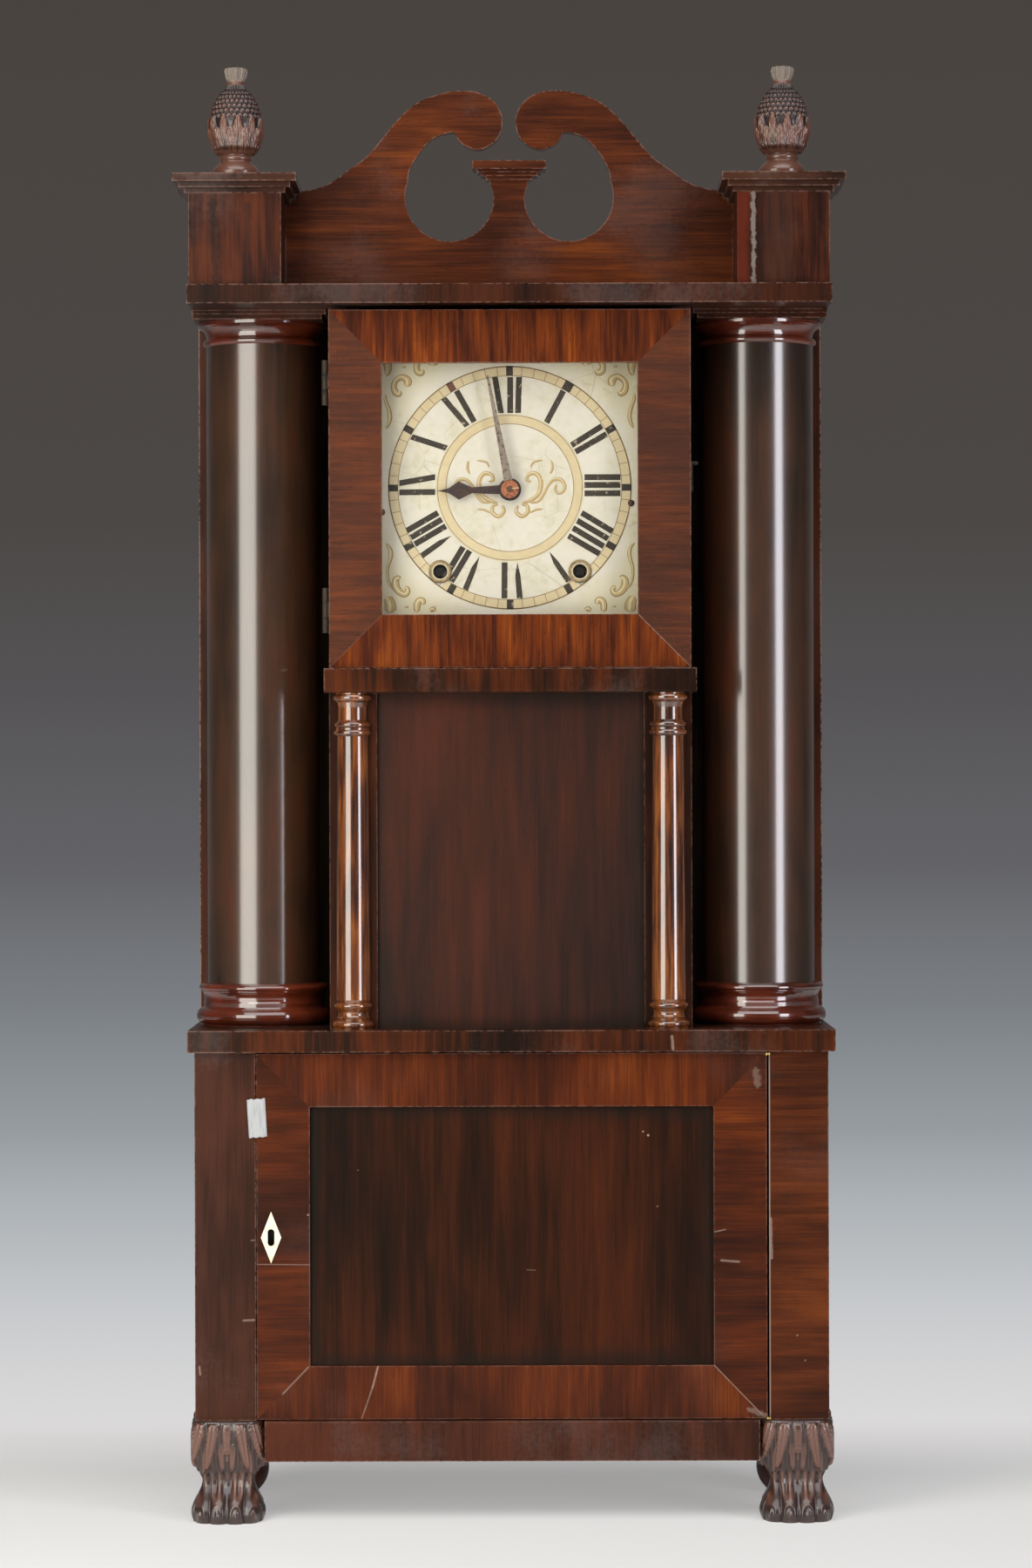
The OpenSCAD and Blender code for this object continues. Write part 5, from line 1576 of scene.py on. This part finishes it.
@dataclass
class PawFoot:
    """Carved paw: four clawed toes, an ankle with sinews, and a knee of drooping leaves.

    Attributes:
        x: Place of its axis across the front.
        y: Place of its axis from front to back.
        rows: Rings of points.
        sides: Points round each ring.
        boxy: Power of the cosine and sine in its section: 1 is an ellipse, 0 a box.
        face: Half the width of the front face, in mm.
        turn: Share of the half width where a corner starts to turn into the side.
        turned: Length round a corner, in mm for each share of the half width past the turn.
        reach: Farthest that it may stand to each side, to the front and to the rear, in mm.
        toe_pitch: Distance from toe to toe, in mm.
        half_wide: (height, half width) points, in mm.
        front: (height, depth before the axis) points, in mm.
        rear: (height, depth behind the axis) points, in mm, up to its top.
        leaves: Leaves of the knee.
    """

    x: float
    y: float
    rows: int = 230
    sides: int = 300
    boxy: float = 0.72
    face: float = 25.0
    turn: float = 0.93
    turned: float = 120.0
    reach: Triple = (25.2, 29.0, 23.4)
    toe_pitch: float = 12.6
    half_wide: tuple[Spot, ...] = (
        (0, 23.6), (3, 24.8), (8, 25.0), (13, 23.2), (18.5, 20.2), (23, 18.4), (27, 17.8), (30, 18.6),
        (33.5, 20.8), (38.5, 22.6), (46, 23.6), (57, 24.2), (67.5, 24.2))
    front: tuple[Spot, ...] = (
        (0, 26.6), (4, 27.8), (9, 27.0), (14, 23.4), (20, 17.0), (26, 13.0), (30, 12.8), (34, 14.6),
        (42, 16.6), (50, 18.8), (58, 20.6), (64, 20.8), (67.5, 19.6))
    rear: tuple[Spot, ...] = (
        (0, 18.4), (10, 19.4), (22, 15.6), (30, 14.2), (40, 16.6), (50, 21.4), (67.5, 22.2))
    # Each leaf's place across, height of its base, lean in degrees, length, half width and relief, in mm
    leaves: tuple = (
        (0.0, 66.5, 0, 26, 3.4, 2.2), (-8.8, 67.0, 7, 32, 4.5, 2.8), (8.8, 67.0, -7, 32, 4.5, 2.8),
        (-18.0, 66.5, 10, 29, 4.7, 3.0), (18.0, 66.5, -10, 29, 4.7, 3.0),
        (-4.3, 53.0, -4, 20, 2.8, 1.8), (4.3, 53.0, 4, 20, 2.8, 1.8), (-13.6, 51.0, 5, 19, 2.9, 1.9),
        (13.6, 51.0, -5, 19, 2.9, 1.9), (-22.5, 51.0, 9, 18, 3.0, 1.9), (22.5, 51.0, -9, 18, 3.0, 1.9),
        (-29.0, 62.0, 12, 30, 5.4, 2.6), (29.0, 62.0, -12, 30, 5.4, 2.6),
        (-40.0, 60.0, 4, 26, 5.6, 2.0), (40.0, 60.0, -4, 26, 5.6, 2.0), (52.0, 58.0, 0, 22, 6, 1.5),
    )

    def leaf(self, q: np.ndarray, z: np.ndarray, shape: tuple) -> np.ndarray:
        """Height of one drooping leaf.

        Along its lean from the base, the half width falls as a power of the way left and ends in a
        point; across it the height is a round arch with a sunk midrib and slanting veins.

        Args:
            q: Places round the paw, in mm from the middle of its front.
            z: Heights, in mm.
            shape: A row of the leaves' table.

        Returns:
            Relief at each point, in mm.
        """
        across, base, lean, length, half, relief = shape
        c, s = math.cos(math.radians(lean)), math.sin(math.radians(lean))
        dq, dz = q - across, base - z
        along = (dz * c - dq * s) / length
        side = dq * c + dz * s
        inside = (along > 0) & (along < 1)
        run = np.clip(along, 0, 1)
        # The upper leaves are already broad where they start
        shoulder = 0.35 if base > 60 else 0
        wide = half * np.clip(run * 3.2 + shoulder, 0, 1) ** 0.6 * (1 - run) ** 0.62 + 0.25
        t = side / wide
        arch = np.sqrt(np.clip(1 - t**2, 0, 1))
        vein = 0.12 * np.cos((along * 9 - np.abs(t) * 1.4) * 2 * np.pi) * np.clip(np.abs(t), 0, 1)
        rib = 0.45 * np.exp(-((side / 0.55) ** 2))
        return np.where(inside & (np.abs(t) < 1), relief * (0.45 + 0.75 * along) * (arch - rib + vein), 0.0)

    def toes(self, q: np.ndarray, z: np.ndarray) -> np.ndarray:
        """Four rounded toes that run up into sinews, each with a knuckle and a claw in front.

        A toe is a round arch across its pitch, its knuckle and nail are bells in height, the claw's
        rim is a bell about an ellipse, and the sinews are a cosine across the ankle.

        Args:
            q: Places round the paw, in mm from the middle of its front.
            z: Heights, in mm.

        Returns:
            Relief at each point, in mm.
        """
        phase = (q / self.toe_pitch) % 1 - 0.5
        off = phase * self.toe_pitch
        front = 1 - rise(24.5, 27.5, np.abs(q))
        arch = np.sqrt(np.clip(1 - (np.abs(phase) / 0.5) ** 2, 0, 1))
        toe = 3.6 * (arch - 1) * (1 - rise(14, 34, z))
        knuckle = 0.9 * np.exp(-(((z - 15) / 4) ** 2)) * arch
        claw_rim = np.hypot(off / 3.4, (z - 6.5) / 5.6)
        claw = 0.35 * np.exp(-(((claw_rim - 1) / 0.2) ** 2)) - 0.45 * (claw_rim < 1) * (1 - claw_rim**2)
        nail = 1.3 * np.exp(-((off / 1.1) ** 2)) * np.exp(-(((z - 5.5) / 3.2) ** 2))
        sinew = (0.7 + 0.8 * np.cos(2 * np.pi * q / 4.9)) * rise(14, 20, z) * (1 - rise(30, 35, z))
        return (toe + knuckle + claw + nail + sinew) * front

    def unrolled(self, x: np.ndarray, cx: np.ndarray, cy: np.ndarray) -> np.ndarray:
        """Place round the paw: x on the front, faster round a corner, and back again on the rear.

        Args:
            x: Place across, in mm.
            cx: Share of the half width.
            cy: Share of the half depth, below 0 in front.

        Returns:
            Length from the middle of the front, in mm, to either side.
        """
        rear = np.sign(x) * (2 * self.face - np.abs(x))
        corner = np.sign(x) * (self.face + (np.abs(cx) - self.turn) * self.turned)
        return np.select([cy >= 0, np.abs(cx) > self.turn], [rear, corner], x)

    def build(self, side: str) -> bpy.types.Object:
        """A rounded box section that changes with height, pushed out by toes and leaves.

        Args:
            side: Which paw it is.

        Returns:
            The paw, closed, with its ridges marked.
        """
        top = self.rear[-1][0]
        z = np.linspace(0, top, self.rows)[:, None]
        a = np.linspace(0, 2 * np.pi, self.sides, endpoint=False)[None, :]
        z, a = np.broadcast_arrays(z, a)
        wide, front, rear = (
            flowing(list(points), z[:, 0])[:, None] for points in (self.half_wide, self.front, self.rear))
        cx, cy = (np.sign(wave) * np.abs(wave) ** self.boxy for wave in (np.cos(a), np.sin(a)))
        x, y = cx * wide, np.where(cy < 0, cy * front, cy * rear)
        q = self.unrolled(x, cx, cy)
        leaf = np.max([self.leaf(q, z, shape) for shape in self.leaves], axis=0)
        flutes = 0.4 * np.cos(2 * np.pi * q / 2.5) * rise(33, 37, z) * (leaf < 0.3)
        relief = (leaf + flutes) * (1 - rise(65.4, 67.2, z)) + self.toes(q, z)
        length = np.hypot(x, y)
        x = x + relief * x / length
        y = y + relief * y / length
        aside, ahead, behind = self.reach
        x, y = np.clip(x, -aside, aside), np.clip(y, -ahead, behind)
        grid = [self.x + x * MM, self.y + y * MM, z * MM]
        piece = closed_skin("paw_foot_" + side, np.stack(grid, axis=-1))
        mark_ridges(piece, 0.3 + relief / 4.2)
        return piece


@dataclass
class Carvings:
    """The finials and front paws, carved in place of the CAD model's turned and plainer ones.

    Attributes:
        finial_x: Distance of a finial's axis from the middle.
        crown: Height of a finial's worn top.
        paw_x: Distance of a paw's axis from the middle.
        paw_y: Place of a paw's axis from front to back.
    """

    finial_x: float = 186.4 * MM
    crown: float = 11.0 * MM
    paw_x: float = 192.2 * MM
    paw_y: float = -60.0 * MM

    SIDES = (("left", -1), ("right", 1))

    def finials(self) -> None:
        """Builds the two finials where the CAD model's stand."""
        low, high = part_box("finials")
        made = CarvedFinish("carved finial", seen(40, 22, 18), seen(112, 72, 56), seen(124, 112, 102),
                            high[2] - self.crown).material()
        middle = (low[1] + high[1]) / 2
        for side, sign in self.SIDES:
            piece = PineappleFinial(sign * self.finial_x, middle, low[2]).build(side)
            finish(piece, made, "case")
            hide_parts("finials")

    def paws(self) -> None:
        """Builds the two front paws."""
        made = CarvedFinish("carved paw", seen(48, 28, 23), seen(118, 80, 66), seen(172, 142, 128)).material()
        for side, sign in self.SIDES:
            piece = PawFoot(sign * self.paw_x, self.paw_y).build(side)
            finish(piece, made, "case")
            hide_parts("front_feet")

    def build(self) -> None:
        """Builds the carved pieces."""
        self.finials()
        self.paws()


@dataclass
class SmallFittings:
    """Paper slip, dial pins, and the finishes of the escutcheon, the winding holes and the glass.

    Attributes:
        slip_at: (x, z) middle of the slip.
        slip_wide: Its width.
        slip_tall: Its height.
        slip_y: Y of its back.
        slip_lean: How far its top leans to the left, in widths.
        winding: Distance of the winding holes from the middle, and their height.
        bore: Radius of the painted highlight on a winding hole's ring.
        pins: Each dial pin's side and (x, z) place.
        pin_radius: Radius of a pin's head.
        pin_stand: How far it stands out.
        cracks: Hairlines of the escutcheon, their (x, z) ends from its middle, in mm.
    """

    slip_at: Spot = (-171.8 * MM, 271.6 * MM)
    slip_wide: float = 12.4 * MM
    slip_tall: float = 25.9 * MM
    slip_y: float = -70.4 * MM
    slip_lean: float = 0.06
    winding: Spot = (47.6 * MM, 641.4 * MM)
    bore: float = 5.35 * MM
    pins: tuple[tuple[str, Spot], ...] = (
        ("right", (82.6 * MM, 687.8 * MM)), ("left", (-87.2 * MM, 682.0 * MM)))
    pin_radius: float = 2.3 * MM
    pin_stand: float = 1.2 * MM
    cracks: tuple[tuple[Spot, Spot], ...] = (((-4.9, 6.0), (-2.1, 4.0)), ((2.1, -4.8), (3.8, -6.2)))

    def paper(self) -> bpy.types.Material:
        """Grey-white paper with soft streaks.

        Returns:
            The material.
        """
        bench = Bench("paper slip")
        streak = bench.noise(bench.scaled((1, 1, 0.2)), 300, 3)
        bench.bump(streak, 0.3, 0.4 * MM)
        colour = bench.blend((0.42, 0.43, 0.44), (0.28, 0.285, 0.3), streak.rise(0.4, 0.75))
        return bench.dress(Base_Color=colour, Roughness=0.75)

    def slip(self) -> bpy.types.Object:
        """A folded strip: a leaning sheet that bows out as 1 - u^2 across, with a ragged top and foot.

        Returns:
            The sheet, with its thickness as a modifier.
        """
        u, v = np.meshgrid(np.linspace(-1, 1, 25), np.linspace(-1, 1, 41), indexing="xy")
        x = self.slip_at[0] + self.slip_wide / 2 * (u - 2 * self.slip_lean * v)
        torn = 0.3 * MM * np.sin(u * 9) * (np.abs(v) > 0.97)
        z = self.slip_at[1] + self.slip_tall / 2 * (v + 0.03 * u) + torn
        bow = (0.8 * (1 - u**2) + 0.25 * np.cos(u * 8 + v) + 0.3) * MM
        grid = np.stack([x, self.slip_y - bow, z], axis=-1)
        piece = shaped("paper_slip", grid, grid_faces(41, 25, False))
        wall = piece.modifiers.new("wall", "SOLIDIFY")
        wall.thickness = 0.5 * MM
        return piece

    def pin(self, name: str, at: Spot, front: float) -> bpy.types.Object:
        """A round head that faces the front: a quarter circle turned about Y.

        Args:
            name: The piece's name.
            at: Its (x, z) place.
            front: Y of the face that it stands on.

        Returns:
            The head, closed.
        """
        t = np.linspace(0, np.pi / 2, 9)
        a = np.linspace(0, 2 * np.pi, 28, endpoint=False)
        r = np.append(self.pin_radius * np.cos(t[:-1]), self.pin_radius * 0.05)[:, None]
        depth = np.append(self.pin_stand * np.sin(t[:-1]), self.pin_stand)[:, None]
        grid = [at[0] + r * np.cos(a), np.repeat(front - depth, len(a), 1), at[1] + r * np.sin(a)]
        return closed_skin(name, np.stack(grid, axis=-1))

    def grommet(self) -> bpy.types.Material:
        """Winding-hole ring: tan, with a painted highlight round its bore and painted shade inside it.

        Painted shade also darkens its outer rim, most at the lower right.

        Returns:
            The material of both rings.
        """
        bench = Bench("winding hole rings")
        across = bench.x.size() - self.winding[0]
        up = bench.z - self.winding[1]
        reach = (across**2 + up**2) ** 0.5
        cloud = bench.noise(bench.place, 420, 3)
        colour = bench.blend(seen(186, 160, 116), seen(152, 128, 90), cloud.rise(0.42, 0.66))
        # Painted highlight round the bore
        bright = (reach - self.bore).size().rise(0.5 * MM, 0.2 * MM)
        colour = bench.blend(colour, seen(238, 226, 190), bright)
        # Place across from the middle of whichever ring is nearer, right positive on both
        beside = bench.x - bench.x.rise(-MM, MM) * (2 * self.winding[0]) + self.winding[0]
        # Painted shade on the ring's outer rim, strongest at the lower right
        lower = (beside - up).rise(1 * MM, 6 * MM)
        colour = bench.blend(colour, seen(92, 80, 50), reach.rise(6.8 * MM, 7.5 * MM) * (0.3 + lower * 0.6))
        # Painted shade inside the bore
        colour = bench.blend(colour, seen(34, 27, 20), reach.rise(5.0 * MM, 4.7 * MM))
        return bench.dress(Base_Color=colour, Metallic=0.3, Roughness=0.42)

    def bone(self) -> bpy.types.Material:
        """Yellowed bone with a hairline crack on each side of the keyhole.

        Returns:
            The material.
        """
        bench = Bench("old bone")
        x, _, z = (v / MM for v in Box.of("escutcheon").middle)
        cloud = bench.noise(bench.place, 160, 3)
        colour = bench.blend(seen(240, 232, 208), seen(232, 216, 178), cloud.rise(0.45, 0.7))
        ragged = bench.noise(bench.place, 900, 2)
        for (x0, z0), (x1, z1) in self.cracks:
            crack = Mark((x + x0, z + z0), (x + x1, z + z1), 0.35, 0.8, 0.3, seen(110, 98, 84))
            colour = bench.blend(colour, crack.tint, crack.mask(bench, ragged))
        return bench.dress(Base_Color=colour, Roughness=0.4)

    def build(self) -> None:
        """Builds the small pieces and dresses the CAD ones."""
        finish(self.slip(), self.paper(), "base_door")
        rust = MetalFinish("rusty pin", (0.13, 0.06, 0.035), (0.06, 0.03, 0.02), gloss=0.6, metallic=0.5)
        rusty = rust.material()
        for side, at in self.pins:
            finish(self.pin("dial_pin_" + side, at, PaintedDial.front), rusty, "case")
        paint_node("escutcheon", self.bone())
        paint_node("grommets", self.grommet())
        paint_node("upper_glass", GlassFinish("door glass").material())


@dataclass(frozen=True)
class Lamp:
    """A rectangular soft lamp.

    Attributes:
        name: Its name.
        at: Where it hangs.
        aim: The point that it faces.
        size: Its width and height.
        watts: Its power.
        tint: Its colour.
    """

    name: str
    at: Triple
    aim: Triple
    size: Spot
    watts: float
    tint: Colour = (1.0, 1.0, 1.0)

    def build(self) -> None:
        """Hangs the lamp and turns it to its aim."""
        data = bpy.data.lights.new(self.name, "AREA")
        data.shape = "RECTANGLE"
        data.size, data.size_y = self.size
        data.energy = self.watts
        data.color = self.tint
        lamp = bpy.data.objects.new(self.name, data)
        lamp.location = self.at
        way = Vector(self.aim) - Vector(self.at)
        lamp.rotation_euler = way.to_track_quat("-Z", "Y").to_euler()
        bpy.context.scene.collection.objects.link(lamp)


@dataclass
class Studio:
    """Floor, graded backdrop, soft lamps and the camera at the photograph's place.

    Attributes:
        camera_at: Place of the camera.
        camera_roll: Its roll, in radians.
        frame_height: Height of the picture at the case's front edges.
        distance: Distance of those edges from the camera.
        sensor: Height of its sensor, in mm.
        wide: Half the width of the floor and the backdrop.
        near: Y of the floor's front edge.
        back: Y of the backdrop.
        tall: Height of the backdrop.
        graded: Height at which its colours end.
        air: Strength of the world's light.
        lamps: The lamps.
    """

    camera_at: Triple = (3.64 * MM, -3.076, 0.4966)
    camera_roll: float = 0.00276
    frame_height: float = 1.056
    distance: float = 3.0
    sensor: float = 24.0
    wide: float = 6.0
    near: float = -6.0
    back: float = 1.6
    tall: float = 5.0
    graded: float = 1.4
    air: float = 0.045
    lamps: tuple[Lamp, ...] = (
        Lamp("left lamp", (-0.62, -0.85, 0.6), (0.0, 0.0, 0.5), (0.6, 1.2), 10.0, (1.0, 0.96, 0.87)),
        Lamp("right lamp", (1.35, -1.3, 0.6), (0.0, 0.0, 0.5), (0.5, 1.4), 15.0, (0.96, 0.94, 1.0)),
        Lamp("top lamp", (0.0, -1.7, 2.8), (0.0, 0.0, 0.4), (3.2, 2.4), 60.0),
    )

    def camera(self) -> None:
        """Level camera whose picture height spans frame_height at the case's front edges."""
        data = bpy.data.cameras.new("camera")
        data.sensor_fit = "VERTICAL"
        data.sensor_height = self.sensor
        data.lens = self.sensor * self.distance / self.frame_height
        camera = bpy.data.objects.new("camera", data)
        camera.location = self.camera_at
        camera.rotation_euler = (math.pi / 2, self.camera_roll, 0)
        bpy.context.scene.collection.objects.link(camera)
        bpy.context.scene.camera = camera

    def seen_as(self, bench: Bench, tone: Wire, share: Wire | float, plain: Colour) -> bpy.types.Material:
        """Lets the camera see a tone as it is written, over a plain lit surface.

        Args:
            bench: The material being built.
            tone: The colour that the camera sees.
            share: How much of it covers the lit surface.
            plain: Colour of the surface in the lamps' light and in reflections.

        Returns:
            The material.
        """
        path = bench.tree.nodes.new("ShaderNodeLightPath")
        direct, through = (Wire(bench, path.outputs[f"Is {ray} Ray"]) for ray in ("Camera", "Transmission"))
        seen_by = direct.most(through)
        glow = bench.node("ShaderNodeEmission", {}, {"Color": tone, "Strength": 1.0})
        lit = Wire(bench, bench.shader.outputs[0])
        mixed = bench.node("ShaderNodeMixShader", {}, {0: seen_by * share, 1: lit, 2: glow})
        bench.tree.links.new(mixed.socket, bench.output.inputs["Surface"])
        return bench.dress(Base_Color=plain, Roughness=0.7, Specular_IOR_Level=0.1)

    def graded_tone(self, bench: Bench, value: Wire, end: float, stops: list[tuple[float, Colour]]) -> Wire:
        """Colours on a ramp from 0 to the value's end."""
        share = bench.node("ShaderNodeMapRange", {}, {"Value": value, "From Min": 0.0, "From Max": end})
        return bench.node("ShaderNodeValToRGB", {"stops": stops}, {"Fac": share})

    def floor_material(self) -> bpy.types.Material:
        """Pale floor: it keeps the clock's shadow, and further back it fades into the backdrop.

        Returns:
            The material.
        """
        bench = Bench("pale floor")
        tone = self.graded_tone(bench, bench.y, self.back, [
            (0.0, seen(250, 249, 248)), (0.2, seen(221, 219, 219)), (0.45, seen(211, 211, 212)),
            (0.72, seen(199, 201, 204)), (1.0, seen(187, 190, 193))])
        return self.seen_as(bench, tone, bench.y.rise(0.1, 0.42) * 0.64 + 0.36, (0.85, 0.85, 0.84))

    def wall_material(self) -> bpy.types.Material:
        """Backdrop whose colour is seen as it is written: pale at the floor, dark grey at the top.

        Its back is clear, so that the clock can be looked at from behind.

        Returns:
            The material.
        """
        bench = Bench("graded backdrop")
        tone = self.graded_tone(bench, bench.z, self.graded, [
            (0.0, seen(187, 190, 193)), (0.047, seen(171, 176, 180)), (0.094, seen(150, 156, 160)),
            (0.19, seen(123, 127, 131)), (0.29, seen(100, 100, 104)), (0.42, seen(86, 84, 86)),
            (0.55, seen(76, 72, 70)), (0.88, seen(74, 69, 65)), (1.0, seen(70, 65, 60))])
        material = self.seen_as(bench, tone, 1.0, (0.2, 0.2, 0.2))
        behind = bench.node("ShaderNodeNewGeometry", {}, {}, output="Backfacing")
        clear = bench.node("ShaderNodeBsdfTransparent", {}, {})
        front = Wire(bench, bench.output.inputs["Surface"].links[0].from_socket)
        mixed = bench.node("ShaderNodeMixShader", {}, {0: behind, 1: front, 2: clear})
        bench.tree.links.new(mixed.socket, bench.output.inputs["Surface"])
        return material

    def sheet(self, name: str, corners: list[Triple], material: bpy.types.Material) -> bpy.types.Object:
        """Makes one flat sheet of the studio.

        Args:
            name: Its name.
            corners: Its four corners, anticlockwise from the side that is seen.
            material: What it is dressed in.

        Returns:
            The sheet.
        """
        sheet = shaped(name, np.array(corners), [(0, 1, 2, 3)])
        sheet.data.materials.append(material)
        return sheet

    def world(self) -> None:
        """Faint pale air that fills the shadows; the camera sees it as plain grey."""
        world = bpy.data.worlds.new("studio air")
        world.use_nodes = True
        nodes, links = world.node_tree.nodes, world.node_tree.links
        air = nodes["Background"]
        air.inputs[0].default_value = (0.9, 0.92, 0.95, 1)
        air.inputs[1].default_value = self.air
        far = nodes.new("ShaderNodeBackground")
        far.inputs[0].default_value = (*seen(150, 152, 155), 1)
        path = nodes.new("ShaderNodeLightPath")
        mixed = nodes.new("ShaderNodeMixShader")
        links.new(path.outputs["Is Camera Ray"], mixed.inputs[0])
        links.new(air.outputs[0], mixed.inputs[1])
        links.new(far.outputs[0], mixed.inputs[2])
        links.new(mixed.outputs[0], nodes["World Output"].inputs["Surface"])
        bpy.context.scene.world = world
        bpy.context.scene.view_settings.view_transform = "Standard"

    def build(self) -> None:
        """Sets up the studio."""
        self.camera()
        wide, near, back, tall = self.wide, self.near, self.back, self.tall
        floor = self.sheet(
            "floor", [(-wide, near, 0), (wide, near, 0), (wide, back, 0), (-wide, back, 0)],
            self.floor_material())
        wall = self.sheet(
            "backdrop", [(-wide, back, 0), (wide, back, 0), (wide, back, tall), (-wide, back, tall)],
            self.wall_material())
        for lamp in self.lamps:
            lamp.build()
        self.world()


def main() -> None:
    """Builds the studio, dresses every node and adds the finer pieces."""
    logging.basicConfig(level=logging.INFO, format="%(name)s: %(message)s")
    Studio().build()
    CaseWood().dress()
    Metalwork().dress()
    Hands().dress()
    PaintedDial().build()
    Carvings().build()
    SmallFittings().build()


if __name__ == "__main__":
    main()
